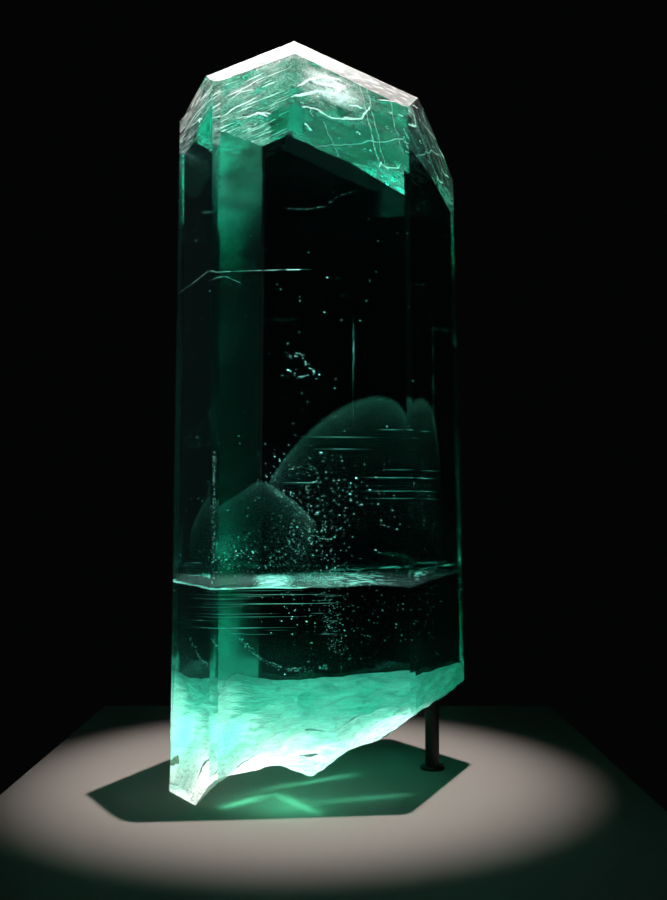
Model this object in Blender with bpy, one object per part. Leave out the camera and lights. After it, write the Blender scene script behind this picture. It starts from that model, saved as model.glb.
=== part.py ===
"""Aquamarine crystal standing on its own broken foot and on one museum support peg.

The crystal is one natural solid: a six-sided beryl prism with narrow edge facets, a low
etched termination and a rough, slanting broken base. The peg is a separate turned rod.
Lengths are in millimetres and are turned to metres when a mesh is made. +Z is up, the wide
front face looks along -Y, and the ground is z = 0.
"""

import math
import random

import bmesh
import bpy
import numpy as np
from mathutils import Vector

MM = 0.001

# Prism faces: compass direction of the outward normal (degrees), distance of the face from
# the origin at ground level, and inward lean per millimetre of height.
PRISM_FACES = {
    "front": (-90.0, 0.0, 0.0135),
    "right_front": (-30.0, 27.5, 0.0112),
    "right_back": (30.0, 86.0, 0.0161),
    "back": (90.0, 98.6, 0.0070),
    "left_back": (150.0, 74.1, 0.0056),
    "left_front": (210.0, 40.9, 0.0036),
}
# Narrow facets that cut the upright edges: how deep each cuts below the sharp corner.
EDGE_FACETS = {
    ("left_front", "front"): 1.9,
    ("front", "right_front"): 1.4,
    ("right_front", "right_back"): 1.2,
    ("right_back", "back"): 1.0,
    ("back", "left_back"): 0.7,
    ("left_back", "left_front"): 1.2,
}
BACK_STEP_X = 14.5
BACK_STEP_TURN = 1.5

# Termination: each facet is a plane through a point, with its rise along +X and along +Y.
APEX = (-15.9, 13.2, 312.6)
LEFT_ROOF = (APEX, 0.500, -0.260)
RIGHT_ROOF = (APEX, -0.387, -0.263)
TERMINATION_CUTS = {
    "front_left_rim": ((-15.9, 4.2, 303.0), 0.42, 1.07),
    "front_right_rim": ((-15.9, 4.2, 303.0), -0.4545, 1.07),
    "back_right_slope": ((8.0, 96.6, 281.0), -0.60, -0.75),
}

# Etched tongues on the right roof: start and end of the centre line, width and rise.
TONGUES = (
    ((13.0, 24.0), (31.0, 85.0), 7.0, 0.9),
    ((24.0, 22.0), (39.0, 66.0), 6.0, 0.7),
    ((-5.0, 38.0), (7.0, 88.0), 8.0, 0.8),
    ((36.0, 27.0), (49.0, 57.0), 6.0, 0.7),
    ((0.0, 17.0), (9.0, 52.0), 6.0, 0.6),
)
# Ledges across the right roof: the line of each, beyond which the roof drops.
RIGHT_LEDGES = (
    ((-16.0, 71.0), (-4.0, 64.5), (8.0, 62.0), (16.0, 53.0), (30.0, 40.0), (48.0, 36.0)),
    ((-16.0, 99.0), (0.0, 91.0), (16.0, 74.0), (34.0, 56.0), (56.0, 50.0)),
)
RIGHT_LEDGE_DROP = 0.8
# Shingle-like ledges that run down the left roof, by where each starts on the ridge.
LEFT_LEDGES = (8.0, 19.0, 27.0, 38.0, 46.0, 57.0, 69.0, 78.0, 90.0, 103.0, 116.0)
LEFT_LEDGE_TURN = -0.25
LEFT_LEDGE_RISE = 0.9
ETCH_PITS = 34
ETCH_PIT_RADIUS = (2.2, 4.2)
ETCH_PIT_DEPTH = (0.35, 0.9)

# Broken base: heights of the underside at places across the section.
BASE_HEIGHTS = (
    (-64.5, 30.0, -1.6), (-59.9, 22.0, -1.8), (-55.0, 13.6, -0.9), (-50.4, 5.6, 6.6),
    (-46.4, 0.0, 12.2), (-57.0, 49.0, -1.8), (-63.0, 39.0, -1.8), (-52.0, 31.0, -0.8),
    (-49.0, 45.0, 2.0), (-49.0, 18.0, 4.0), (-33.8, 0.0, 15.6), (-23.0, 0.0, 17.8),
    (-8.3, 0.0, 13.9), (-0.6, 0.0, 18.6), (5.3, 0.0, 22.7), (13.9, 0.0, 25.6),
    (21.0, 0.0, 28.9), (31.0, 0.0, 35.5), (39.0, 13.4, 36.4), (50.5, 33.4, 36.8),
    (65.0, 57.0, 39.6), (42.0, 98.0, 43.0), (17.0, 98.0, 41.0), (-5.0, 98.0, 39.5),
    (-27.0, 98.0, 38.0), (-43.5, 72.5, 41.0), (-52.0, 58.0, 15.0), (-35.0, 30.0, 13.0),
    (-20.0, 30.0, 20.0), (0.0, 30.0, 23.0), (20.0, 30.0, 31.0), (0.0, 62.0, 33.0),
    (-30.0, 58.0, 27.0), (30.0, 62.0, 38.0),
)
SCALLOP_SPACING = 12.5
SCALLOP_JITTER = 5.0
SCALLOP_RADIUS = 9.0
SCALLOP_RISE = (-0.4, 2.4)
EDGE_QUIET = 12.0
EDGE_SHARE = 0.25

# Working block that the crystal is cut from.
GRID_STEP = 3.0
BLOCK_X = (-75.9, 71.1)
BLOCK_Y = (-6.0, 105.0)
WELD = 0.02

# Support peg, a turned rod with a small foot.
PEG_PLACE = (49.5, 58.0)
PEG_RADIUS = 3.175
PEG_FOOT_RADIUS = 5.5
PEG_FOOT_HEIGHT = 1.4
PEG_CHAMFER = 0.5
PEG_TIP_RADIUS = 2.4
PEG_TIP_HEIGHT = 1.6
PEG_GAP = 0.35
PEG_SIDES = 48
TOUCH_RINGS = 3


def clear_scene():
    """Remove whatever the scene holds."""
    for thing in list(bpy.data.objects):
        bpy.data.objects.remove(thing, do_unlink=True)


def make_material(name, colour, roughness, metallic=0.0, transmission=0.0, ior=1.5):
    """One Principled BSDF with plain values."""
    material = bpy.data.materials.new(name)
    material.use_nodes = True
    shader = material.node_tree.nodes["Principled BSDF"]
    shader.inputs["Base Color"].default_value = (*colour, 1.0)
    shader.inputs["Roughness"].default_value = roughness
    shader.inputs["Metallic"].default_value = metallic
    shader.inputs["Transmission Weight"].default_value = transmission
    shader.inputs["IOR"].default_value = ior
    return material


def finish_object(name, bm, material):
    """Turn a millimetre bmesh into a named object in metres."""
    bmesh.ops.scale(bm, vec=Vector((MM, MM, MM)), verts=bm.verts[:])
    mesh = bpy.data.meshes.new(name)
    bm.to_mesh(mesh)
    bm.free()
    mesh.materials.append(material)
    thing = bpy.data.objects.new(name, mesh)
    bpy.context.scene.collection.objects.link(thing)
    return thing


def plate_kernel(squared):
    """Thin-plate spline kernel of a squared distance."""
    return np.where(squared > 0.0, 0.5 * squared * np.log(np.maximum(squared, 1e-12)), 0.0)


def fit_plate(points):
    """Smooth surface through (x, y, z) points, as a function of x and y."""
    known = np.array(points)
    place, height = known[:, :2], known[:, 2]
    count = len(place)
    squared = ((place[:, None, :] - place[None, :, :]) ** 2).sum(axis=2)
    flat = np.column_stack((np.ones(count), place))
    system = np.zeros((count + 3, count + 3))
    system[:count, :count] = plate_kernel(squared)
    system[:count, count:] = flat
    system[count:, :count] = flat.T
    weights = np.linalg.solve(system, np.concatenate((height, np.zeros(3))))

    def surface(x, y):
        reach = (x - place[:, 0]) ** 2 + (y - place[:, 1]) ** 2
        bend = float(weights[:count] @ plate_kernel(reach))
        return bend + weights[count] + weights[count + 1] * x + weights[count + 2] * y

    return surface


def face_vector(name):
    """Outward direction of a prism face with its lean, and its offset."""
    turn, offset, lean = PRISM_FACES[name]
    angle = math.radians(turn)
    return Vector((math.cos(angle), math.sin(angle), lean)), offset


def inside_depth(x, y):
    """Distance from a place at ground level to the nearest prism face."""
    depths = []
    for name in PRISM_FACES:
        normal, offset = face_vector(name)
        depths.append(offset - normal.x * x - normal.y * y)
    return min(depths)


def roof_height(roof, x, y):
    """Height of a termination plane over a place."""
    (px, py, pz), rise_x, rise_y = roof
    return pz + rise_x * (x - px) + rise_y * (y - py)


def make_scallops(rng):
    """Centres and rises of the shell-like hollows of the fracture, on a shaken grid."""
    cells = []
    columns = int((BLOCK_X[1] - BLOCK_X[0]) / SCALLOP_SPACING) + 2
    rows = int((BLOCK_Y[1] - BLOCK_Y[0]) / SCALLOP_SPACING) + 2
    for i in range(columns):
        for j in range(rows):
            x = BLOCK_X[0] + i * SCALLOP_SPACING + rng.uniform(-SCALLOP_JITTER, SCALLOP_JITTER)
            y = BLOCK_Y[0] + j * SCALLOP_SPACING + rng.uniform(-SCALLOP_JITTER, SCALLOP_JITTER)
            cells.append((x, y, rng.uniform(*SCALLOP_RISE)))
    return cells


def make_pits(rng):
    """Centres, radii and depths of the etch pits of the termination."""
    pits = []
    for _ in range(ETCH_PITS):
        radius = rng.uniform(*ETCH_PIT_RADIUS)
        depth = rng.uniform(*ETCH_PIT_DEPTH)
        pits.append((rng.uniform(*BLOCK_X), rng.uniform(*BLOCK_Y), radius, depth))
    return pits


def tongue_relief(x, y):
    """Rise of the etched tongues of the right roof over a place."""
    relief = 0.0
    for (ax, ay), (bx, by), width, rise in TONGUES:
        length = math.hypot(bx - ax, by - ay)
        ux, uy = (bx - ax) / length, (by - ay) / length
        along = (x - ax) * ux + (y - ay) * uy
        across = abs(-(x - ax) * uy + (y - ay) * ux)
        if 0.0 <= along <= length and across <= width / 2.0:
            relief += rise
    return relief


def ledge_relief(x, y):
    """Drop of the right roof beyond the ledges that cross it."""
    passed = 0
    for line in RIGHT_LEDGES:
        xs, ys = zip(*line)
        passed += y > float(np.interp(x, xs, ys))
    return -RIGHT_LEDGE_DROP * passed


def shingle_relief(x, y):
    """Saw-tooth relief of the ledges that run down the left roof."""
    start = y - LEFT_LEDGE_TURN * (x - APEX[0])
    for low, high in zip(LEFT_LEDGES, LEFT_LEDGES[1:]):
        if low <= start < high:
            return -LEFT_LEDGE_RISE * (start - low) / (high - low)
    return 0.0


class BrokenBase:
    """Underside of the crystal: a slanting break with shell-like hollows and a foot."""

    def __init__(self, rng):
        self.broad = fit_plate(BASE_HEIGHTS)
        self.cells = make_scallops(rng)

    def scallop(self, x, y):
        domes = (rise - ((x - cx) ** 2 + (y - cy) ** 2) / (2.0 * SCALLOP_RADIUS)
                 for cx, cy, rise in self.cells)
        return max(domes)

    def height(self, x, y):
        quiet = min(1.0, max(0.0, inside_depth(x, y) / EDGE_QUIET))
        share = EDGE_SHARE + (1.0 - EDGE_SHARE) * quiet
        return max(0.0, self.broad(x, y) + share * self.scallop(x, y))


class EtchedTop:
    """Termination: two low roof planes with tongues, terraces and etch pits."""

    def __init__(self, rng):
        self.pits = make_pits(rng)

    def pit(self, x, y):
        depth = 0.0
        for cx, cy, radius, deepest in self.pits:
            reach = math.hypot(x - cx, y - cy)
            if reach < radius:
                depth = max(depth, deepest * (1.0 - reach / radius))
        return depth

    def height(self, x, y):
        left = roof_height(LEFT_ROOF, x, y)
        right = roof_height(RIGHT_ROOF, x, y)
        if abs(x - APEX[0]) < 0.5 * GRID_STEP:
            return min(left, right)
        relief = shingle_relief(x, y) if left < right else tongue_relief(x, y) + ledge_relief(x, y)
        return min(left, right) + relief - self.pit(x, y)


def make_block(base, top):
    """Closed block whose underside and top follow the two height functions."""
    columns = int(round((BLOCK_X[1] - BLOCK_X[0]) / GRID_STEP))
    rows = int(round((BLOCK_Y[1] - BLOCK_Y[0]) / GRID_STEP))
    left_columns = int(round((APEX[0] - BLOCK_X[0]) / GRID_STEP))
    bm = bmesh.new()
    layers = []
    for surface in (base, top):
        grid = []
        for i in range(columns + 1):
            line = []
            for j in range(rows + 1):
                x = APEX[0] + (i - left_columns) * GRID_STEP
                y = BLOCK_Y[0] + j * GRID_STEP
                line.append(bm.verts.new((x, y, surface.height(x, y))))
            grid.append(line)
        layers.append(grid)
    low, high = layers
    for i in range(columns):
        for j in range(rows):
            a, b = (i, j), (i + 1, j)
            c, d = (i + 1, j + 1), (i, j + 1)
            bm.faces.new([low[p][q] for p, q in (a, d, c, b)])
            bm.faces.new([high[p][q] for p, q in (a, b, c, d)])
    rim = [(i, 0) for i in range(columns)]
    rim += [(columns, j) for j in range(rows)]
    rim += [(i, rows) for i in range(columns, 0, -1)]
    rim += [(0, j) for j in range(rows, 0, -1)]
    for k, (i, j) in enumerate(rim):
        p, q = rim[(k + 1) % len(rim)]
        bm.faces.new((low[i][j], low[p][q], high[p][q], high[i][j]))
    bmesh.ops.triangulate(bm, faces=bm.faces[:])
    return bm


def cut_away(bm, point, normal):
    """Cut off what lies beyond a plane and close the cut with one flat face."""
    everything = bm.verts[:] + bm.edges[:] + bm.faces[:]
    bmesh.ops.bisect_plane(bm, geom=everything, dist=WELD / 10.0, plane_co=point,
                           plane_no=normal.normalized(), clear_outer=True)
    open_edges = [edge for edge in bm.edges if edge.is_boundary]
    bmesh.ops.holes_fill(bm, edges=open_edges, sides=0)


def cut_prism(bm):
    """Cut the prism faces, the narrow edge facets and the step in the back face."""
    for name in PRISM_FACES:
        normal, offset = face_vector(name)
        cut_away(bm, normal * (offset / normal.length_squared), normal)
    for (first, second), depth in EDGE_FACETS.items():
        normal_a, offset_a = face_vector(first)
        normal_b, offset_b = face_vector(second)
        normal = normal_a + normal_b
        cut_away(bm, normal * ((offset_a + offset_b - depth) / normal.length_squared), normal)
    back, offset = face_vector("back")
    angle = math.radians(PRISM_FACES["back"][0] - BACK_STEP_TURN)
    turned = Vector((math.cos(angle), math.sin(angle), back.z))
    cut_away(bm, Vector((BACK_STEP_X, offset, 0.0)), turned)


def cut_termination(bm):
    """Cut the small facets around the two roof planes."""
    for point, rise_x, rise_y in TERMINATION_CUTS.values():
        cut_away(bm, Vector(point), Vector((-rise_x, -rise_y, 1.0)))


def build_crystal(base, top):
    """The aquamarine: one closed natural solid."""
    bm = make_block(base, top)
    cut_prism(bm)
    cut_termination(bm)
    bmesh.ops.remove_doubles(bm, verts=bm.verts[:], dist=WELD)
    bmesh.ops.dissolve_degenerate(bm, edges=bm.edges[:], dist=WELD / 2.0)
    bmesh.ops.triangulate(bm, faces=bm.faces[:])
    bmesh.ops.recalc_face_normals(bm, faces=bm.faces[:])
    aquamarine = make_material("aquamarine", (0.36, 0.78, 0.70), 0.06, transmission=1.0, ior=1.577)
    return finish_object("aquamarine_crystal", bm, aquamarine)


def lowest_above(base, centre, radius):
    """Lowest point of the underside over a disc."""
    lowest = base.height(*centre)
    for ring in range(1, TOUCH_RINGS + 1):
        for step in range(PEG_SIDES):
            angle = 2.0 * math.pi * step / PEG_SIDES
            reach = radius * ring / TOUCH_RINGS
            x = centre[0] + reach * math.cos(angle)
            y = centre[1] + reach * math.sin(angle)
            lowest = min(lowest, base.height(x, y))
    return lowest


def build_peg(base):
    """Turned support rod: foot, shaft and a narrowed tip under the break."""
    top = lowest_above(base, PEG_PLACE, PEG_RADIUS + GRID_STEP) - PEG_GAP
    outline = (
        (0.0, 0.0),
        (PEG_FOOT_RADIUS, 0.0),
        (PEG_FOOT_RADIUS, PEG_FOOT_HEIGHT - PEG_CHAMFER),
        (PEG_FOOT_RADIUS - PEG_CHAMFER, PEG_FOOT_HEIGHT),
        (PEG_RADIUS, PEG_FOOT_HEIGHT),
        (PEG_RADIUS, top - PEG_TIP_HEIGHT),
        (PEG_TIP_RADIUS, top),
        (0.0, top),
    )
    bm = bmesh.new()
    verts = [bm.verts.new((r, 0.0, z)) for r, z in outline]
    edges = [bm.edges.new(pair) for pair in zip(verts, verts[1:])]
    bmesh.ops.spin(bm, geom=verts + edges, cent=(0.0, 0.0, 0.0), axis=(0.0, 0.0, 1.0),
                   angle=2.0 * math.pi, steps=PEG_SIDES, use_merge=True)
    bmesh.ops.remove_doubles(bm, verts=bm.verts[:], dist=WELD)
    bmesh.ops.recalc_face_normals(bm, faces=bm.faces[:])
    steel = make_material("dark_steel", (0.055, 0.06, 0.06), 0.42, metallic=1.0)
    peg = finish_object("support_peg", bm, steel)
    peg.location = (PEG_PLACE[0] * MM, PEG_PLACE[1] * MM, 0.0)
    peg.data.shade_smooth()
    peg.data.set_sharp_from_angle(angle=math.radians(30.0))
    return peg


def stand_on_origin(things):
    """Move the pieces so that the origin is the middle of the footprint, on the ground."""
    bpy.context.view_layer.update()
    corners = [thing.matrix_world @ vert.co for thing in things for vert in thing.data.vertices]
    middle_x = (min(c.x for c in corners) + max(c.x for c in corners)) / 2.0
    middle_y = (min(c.y for c in corners) + max(c.y for c in corners)) / 2.0
    for thing in things:
        thing.location.x -= middle_x
        thing.location.y -= middle_y


def main():
    """Build the crystal and its peg."""
    clear_scene()
    rng = random.Random(18)
    base = BrokenBase(rng)
    top = EtchedTop(rng)
    stand_on_origin((build_crystal(base, top), build_peg(base)))


main()
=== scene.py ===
"""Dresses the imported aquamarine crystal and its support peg, and sets the stage and light.

Lengths of the crystal and of what is in it are millimetres in the crystal's own frame: x
along the wide front face, y into the crystal, z up, with y = 0 on the front face at ground
level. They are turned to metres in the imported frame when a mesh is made. The stage, the lamps
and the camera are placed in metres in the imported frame.
"""

from __future__ import annotations

import logging
import math
import random
from collections.abc import Iterable
from dataclasses import dataclass, field
from enum import Enum

import bmesh
import bpy
import numpy as np
from mathutils import Matrix, Vector


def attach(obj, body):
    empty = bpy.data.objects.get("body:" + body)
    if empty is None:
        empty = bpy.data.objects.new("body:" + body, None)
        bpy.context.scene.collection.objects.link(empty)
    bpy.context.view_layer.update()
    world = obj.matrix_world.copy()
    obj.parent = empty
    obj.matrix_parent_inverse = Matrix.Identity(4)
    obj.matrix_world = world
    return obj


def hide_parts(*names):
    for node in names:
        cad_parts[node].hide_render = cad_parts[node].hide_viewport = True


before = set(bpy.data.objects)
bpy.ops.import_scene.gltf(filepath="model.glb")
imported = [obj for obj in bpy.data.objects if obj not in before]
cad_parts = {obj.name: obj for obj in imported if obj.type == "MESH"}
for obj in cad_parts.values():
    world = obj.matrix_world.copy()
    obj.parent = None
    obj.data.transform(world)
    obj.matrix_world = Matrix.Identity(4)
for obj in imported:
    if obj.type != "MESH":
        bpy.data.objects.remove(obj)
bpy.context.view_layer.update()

LOG = logging.getLogger("aquamarine")
MM = 0.001
BODY = "root"
# Radians that a wave texture of scale one turns through in a metre.
WAVE_TURN = 20.0
FRAME_TO_WORLD = Matrix.Translation((0.00074, -0.049254, 0.0)) @ Matrix.Scale(MM, 4)
Pair = tuple[float, float]
Triple = tuple[float, float, float]
Plane = tuple[Triple, float, float]
Outline = tuple[Pair, ...]
Tree = bpy.types.NodeTree
Socket = bpy.types.NodeSocket


# ---------------------------------------------------------------- shared helpers


def linear(hex_colour: str) -> tuple[float, float, float, float]:
    """Turn an sRGB hex colour to linear.

    Args:
        hex_colour: six hex digits after a hash.

    Returns:
        Linear red, green, blue and an alpha of one.
    """
    parts = [int(hex_colour[k:k + 2], 16) / 255.0 for k in (1, 3, 5)]
    red, green, blue = (p / 12.92 if p <= 0.04045 else ((p + 0.055) / 1.055) ** 2.4 for p in parts)
    return (red, green, blue, 1.0)


def add_node(tree: Tree, kind: str, settings: dict | None = None,
             links: dict | None = None) -> bpy.types.Node:
    """Add one shader node.

    Args:
        tree: the node tree.
        kind: the node's type name.
        settings: values by input name, input number or node property.
        links: source sockets by input name or number.

    Returns:
        The new node.
    """
    node = tree.nodes.new(kind)
    for key, value in (settings or {}).items():
        if isinstance(key, str) and hasattr(node, key):
            setattr(node, key, value)
        else:
            node.inputs[key].default_value = value
    for key, socket in (links or {}).items():
        tree.links.new(socket, node.inputs[key])
    return node


def per_mm(size_mm: float) -> float:
    """Texture scale, in cells per metre, of a pattern with this spacing."""
    return 1.0 / (size_mm * MM)


def new_material(name: str) -> tuple[bpy.types.Material, Tree]:
    """Make an empty node material.

    Args:
        name: the material's name.

    Returns:
        The material and its node tree.
    """
    material = bpy.data.materials.new(name)
    material.use_nodes = True
    material.node_tree.nodes.clear()
    return material, material.node_tree


def put_in_scene(name: str, data: bpy.types.ID) -> bpy.types.Object:
    """Make an object and link it.

    Args:
        name: the object's name.
        data: its mesh, lamp or camera.

    Returns:
        The object, at the origin.
    """
    thing = bpy.data.objects.new(name, data)
    bpy.context.scene.collection.objects.link(thing)
    return thing


def drawn_out_noise(tree: Tree, place: Socket, sizes: Triple, detail: float,
                    roughness: float = 0.5, turn: float = 0.0) -> Socket:
    """Noise with a spacing of its own along each axis.

    Args:
        tree: the node tree.
        place: where on the piece.
        sizes: spacing along x, y and z, in mm.
        detail: octaves of the noise.
        roughness: share that each finer octave keeps.
        turn: turn of the axes about z, in radians.

    Returns:
        The noise, from 0 to 1.
    """
    drawn = add_node(tree, "ShaderNodeMapping", {
        "Rotation": (0.0, 0.0, turn), "Scale": tuple(per_mm(size) for size in sizes)},
        {"Vector": place})
    return add_node(tree, "ShaderNodeTexNoise", {
        "Scale": 1.0, "Detail": detail, "Roughness": roughness},
        {"Vector": drawn.outputs[0]}).outputs[0]


def slab_faces(rows: int, columns: int) -> np.ndarray:
    """Faces of a closed slab between two grids of points, the lower grid numbered first.

    Args:
        rows: points of a grid along its first way.
        columns: points of a grid along its second way.

    Returns:
        Four corner numbers a face: the lower faces, as many upper faces, then the walls.
    """
    number = np.arange(rows * columns).reshape(rows, columns)
    a, b = number[:-1, :-1].ravel(), number[1:, :-1].ravel()
    c, d = number[1:, 1:].ravel(), number[:-1, 1:].ravel()
    top = rows * columns
    rim = np.concatenate((number[:-1, 0], number[-1, :-1], number[:0:-1, -1], number[0, :0:-1]))
    after = np.roll(rim, -1)
    return np.concatenate((
        np.column_stack((a, d, c, b)), np.column_stack((a, b, c, d)) + top,
        np.column_stack((rim, after, after + top, rim + top))))


def spot(x: np.ndarray, y: np.ndarray, centre: Pair, reach: Pair) -> np.ndarray:
    """Bell-shaped spot: one at its centre, falling off over a reach along x and along y."""
    return np.exp(-(((x - centre[0]) / reach[0]) ** 2 + ((y - centre[1]) / reach[1]) ** 2))


def smooth_step(values: np.ndarray, low: float, high: float) -> np.ndarray:
    """Rise smoothly from 0 at low to 1 at high."""
    share = np.clip((values - low) / (high - low), 0.0, 1.0)
    return share * share * (3.0 - 2.0 * share)


def value_noise(x: np.ndarray, y: np.ndarray, cell: float, seed: int) -> np.ndarray:
    """Smooth random relief between -1 and 1.

    Args:
        x: places along x, in mm.
        y: places along y, in mm.
        cell: spacing of the random lattice, in mm.
        seed: which lattice.

    Returns:
        One value for each place.
    """
    lattice = np.random.default_rng(seed).uniform(-1.0, 1.0, (256, 256))
    u, v = x / cell + 64.0, y / cell + 64.0
    i, j = np.floor(u).astype(int), np.floor(v).astype(int)
    s, t = u - i, v - j
    s, t = s * s * (3.0 - 2.0 * s), t * t * (3.0 - 2.0 * t)
    i, j = i % 255, j % 255
    low = lattice[i, j] * (1.0 - s) + lattice[i + 1, j] * s
    high = lattice[i, j + 1] * (1.0 - s) + lattice[i + 1, j + 1] * s
    return low * (1.0 - t) + high * t


def distance_to_run(x: np.ndarray, y: np.ndarray, run: Outline) -> tuple[np.ndarray, np.ndarray]:
    """Distance from each place to a line through points, and how far along it that is.

    Args:
        x: places along x, in mm.
        y: places along y, in mm.
        run: the line's points.

    Returns:
        One distance for each place, and the nearest point's share of the line's length.
    """
    spans = [max(math.dist(a, b), 1e-6) for a, b in zip(run, run[1:])]
    nearest, share = np.full_like(x, 1e9), np.zeros_like(x)
    passed = 0.0
    for (ax, ay), (bx, by), span in zip(run, run[1:], spans):
        ux, uy = (bx - ax) / span, (by - ay) / span
        along = np.clip((x - ax) * ux + (y - ay) * uy, 0.0, span)
        away = np.hypot(x - ax - along * ux, y - ay - along * uy)
        share = np.where(away < nearest, (passed + along) / sum(spans), share)
        nearest = np.minimum(nearest, away)
        passed += span
    return nearest, share


def follow(values: np.ndarray, line: Outline) -> np.ndarray:
    """Second coordinate of a line of points at each first coordinate."""
    first, second = zip(*line)
    return np.interp(values, first, second)


# ---------------------------------------------------------------- the crystal's form


class Skin(Enum):
    """What a face of the crystal is."""

    PRISM = 0
    ROOF = 1
    BREAK = 2
    RIM = 3
    EDGE = 4
    STRIATED = 5
    FRAYED = 6


@dataclass(frozen=True)
class PrismForm:
    """Six prism faces, the narrow facets on their edges and the step in the back.

    Each face has a compass direction in degrees, a distance and an inward lean.
    """

    faces: dict[str, Triple] = field(default_factory=lambda: {
        "front": (-90.0, 0.0, 0.0135),
        "right_front": (-30.0, 27.5, 0.0112),
        "right_back": (30.0, 86.0, 0.0161),
        "back": (90.0, 98.6, 0.0070),
        "left_back": (150.0, 74.1, 0.0056),
        "left_front": (210.0, 40.9, 0.0036),
    })
    edge_facets: dict[tuple[str, str], float] = field(default_factory=lambda: {
        ("left_front", "front"): 1.9,
        ("front", "right_front"): 1.4,
        ("right_front", "right_back"): 1.2,
        ("right_back", "back"): 1.0,
        ("back", "left_back"): 0.7,
        ("left_back", "left_front"): 1.2,
    })
    striated: tuple[str, ...] = ("left_back",)
    back_step_x: float = 14.5
    back_step_turn: float = 1.5

    def face(self, name: str) -> tuple[Vector, float]:
        """Outward direction of a face with its lean, and its distance.

        Args:
            name: the face.

        Returns:
            A direction, near unit length, and a distance in mm.
        """
        turn, offset, lean = self.faces[name]
        angle = math.radians(turn)
        return Vector((math.cos(angle), math.sin(angle), lean)), offset

    def depth(self, x: np.ndarray, y: np.ndarray, z: float = 0.0) -> np.ndarray:
        """Distance from each place to the nearest prism face, at a height.

        Args:
            x: places along x, in mm.
            y: places along y, in mm.
            z: the height, in mm.

        Returns:
            One distance for each place, negative outside.
        """
        depths = []
        for name in self.faces:
            normal, offset = self.face(name)
            depths.append(offset - normal.x * x - normal.y * y - normal.z * z)
        return np.min(depths, axis=0)

    def cuts(self) -> list[tuple[Vector, Vector, Skin]]:
        """Every cutting plane of the prism, as a point, an outward direction and a skin.

        Returns:
            The planes, in the order in which they cut.
        """
        planes = []
        for name in self.faces:
            normal, offset = self.face(name)
            skin = Skin.STRIATED if name in self.striated else Skin.PRISM
            planes.append((normal * (offset / normal.length_squared), normal, skin))
        for (first, second), depth in self.edge_facets.items():
            normal_a, offset_a = self.face(first)
            normal_b, offset_b = self.face(second)
            normal = normal_a + normal_b
            reach = (offset_a + offset_b - depth) / normal.length_squared
            planes.append((normal * reach, normal, Skin.EDGE))
        back, offset = self.face("back")
        angle = math.radians(self.faces["back"][0] - self.back_step_turn)
        turned = Vector((math.cos(angle), math.sin(angle), back.z))
        planes.append((Vector((self.back_step_x, offset, 0.0)), turned, Skin.PRISM))
        return planes


@dataclass(frozen=True)
class Etch:
    """One line etched in the roof: its run, half width, rise and how frosted it is."""

    run: Outline
    width: float = 0.0
    rise: float = 0.25
    frost: float = 1.0


@dataclass
class Relief:
    """A rough surface over a grid: height in mm, broad frost, fine etching, painted crack shade with
    dark olive chips, and a painted greening.

    The etching is a tent that falls off over a set reach beside each line, so that a finish can draw
    lines finer than the grid from it. The greening is painted light colour: it says how much crystal
    the light that is scattered there has passed through, and turns the surface teal to match.
    """

    height: np.ndarray
    frost: np.ndarray
    etch: np.ndarray
    stain_and_crack_shade: np.ndarray
    green: np.ndarray


def tent(away: np.ndarray, reach: float = 1.5) -> np.ndarray:
    """One at a line's edge and within, falling straight to zero at a reach in mm."""
    return np.clip(1.0 - away / reach, 0.0, 1.0)


def wavy_ledges() -> list[Etch]:
    """Broad frosted waves in the middle of the roof."""
    return [
        Etch(((-15, 56), (-10, 45.5), (-4, 36.5), (3, 33), (9, 33.7)), 0.2, 0.5, 0.97),
        Etch(((-17, 64), (-11, 57), (-5, 50), (3, 45.6), (7, 36)), 0.5, 0.7),
        Etch(((-8, 44), (0, 40), (6, 40)), 0.7, 0.5),
        Etch(((-20, 72), (-15, 73.5), (-9.5, 67), (-4, 65), (2, 65.5), (8, 62), (15, 56),
              (18, 47), (18.5, 39)), 0.10, 0.6),
        Etch(((9, 50), (12.6, 48), (16, 49)), 0.2, 0.4),
        Etch(((-10, 78), (-7.6, 82), (-5, 83.5)), 0.1),
        Etch(((-25, 82), (-18, 87), (-14, 85), (-11, 79)), 0.2, 0.4),
    ]


def short_marks() -> list[Etch]:
    """Short crooked marks among the straight growth lines of the right roof."""
    return [
        Etch(((25, 84), (28, 88), (34, 84.6), (35, 79)), 0.0),
        Etch(((20, 36.6), (24.6, 33.4), (30.7, 29)), 0.0, 0.4),
        Etch(((26, 85), (26, 92), (31, 90)), 0.05),
        Etch(((38, 66), (47, 66), (54, 60)), 0.0, 0.4),
        Etch(((48, 41), (57, 47)), 0.1, 0.5),
    ]


def growth_lines() -> tuple[tuple[float, float, float, float, float], ...]:
    """Long straight growth lines of the right roof: both ends in mm and how clear each is."""
    return (
        (12.0, 26.0, 18.0, 55.0, 0.55),
        (18.0, 55.0, 25.0, 85.0, 0.55),
        (15.0, 27.0, 22.5, 62.0, 0.40),
        (22.5, 62.0, 28.5, 87.0, 0.40),
        (24.0, 22.0, 30.0, 52.0, 0.25),
        (30.0, 52.0, 39.0, 80.0, 0.25),
        (-1.2, 71.0, 7.5, 95.6, 0.40),
        (36.0, 27.0, 47.0, 74.0, 0.45),
        (42.0, 33.0, 52.0, 62.0, 0.45),
        (50.0, 30.0, 60.0, 52.0, 0.40),
        (-4.6, 97.0, 5.0, 87.0, 0.30),
        (5.0, 87.0, 18.0, 73.0, 0.45),
        (18.0, 73.0, 34.0, 56.5, 0.60),
        (34.0, 56.5, 46.0, 50.0, 0.60),
        (30.0, 40.0, 48.0, 36.0, 0.45),
    )


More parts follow.
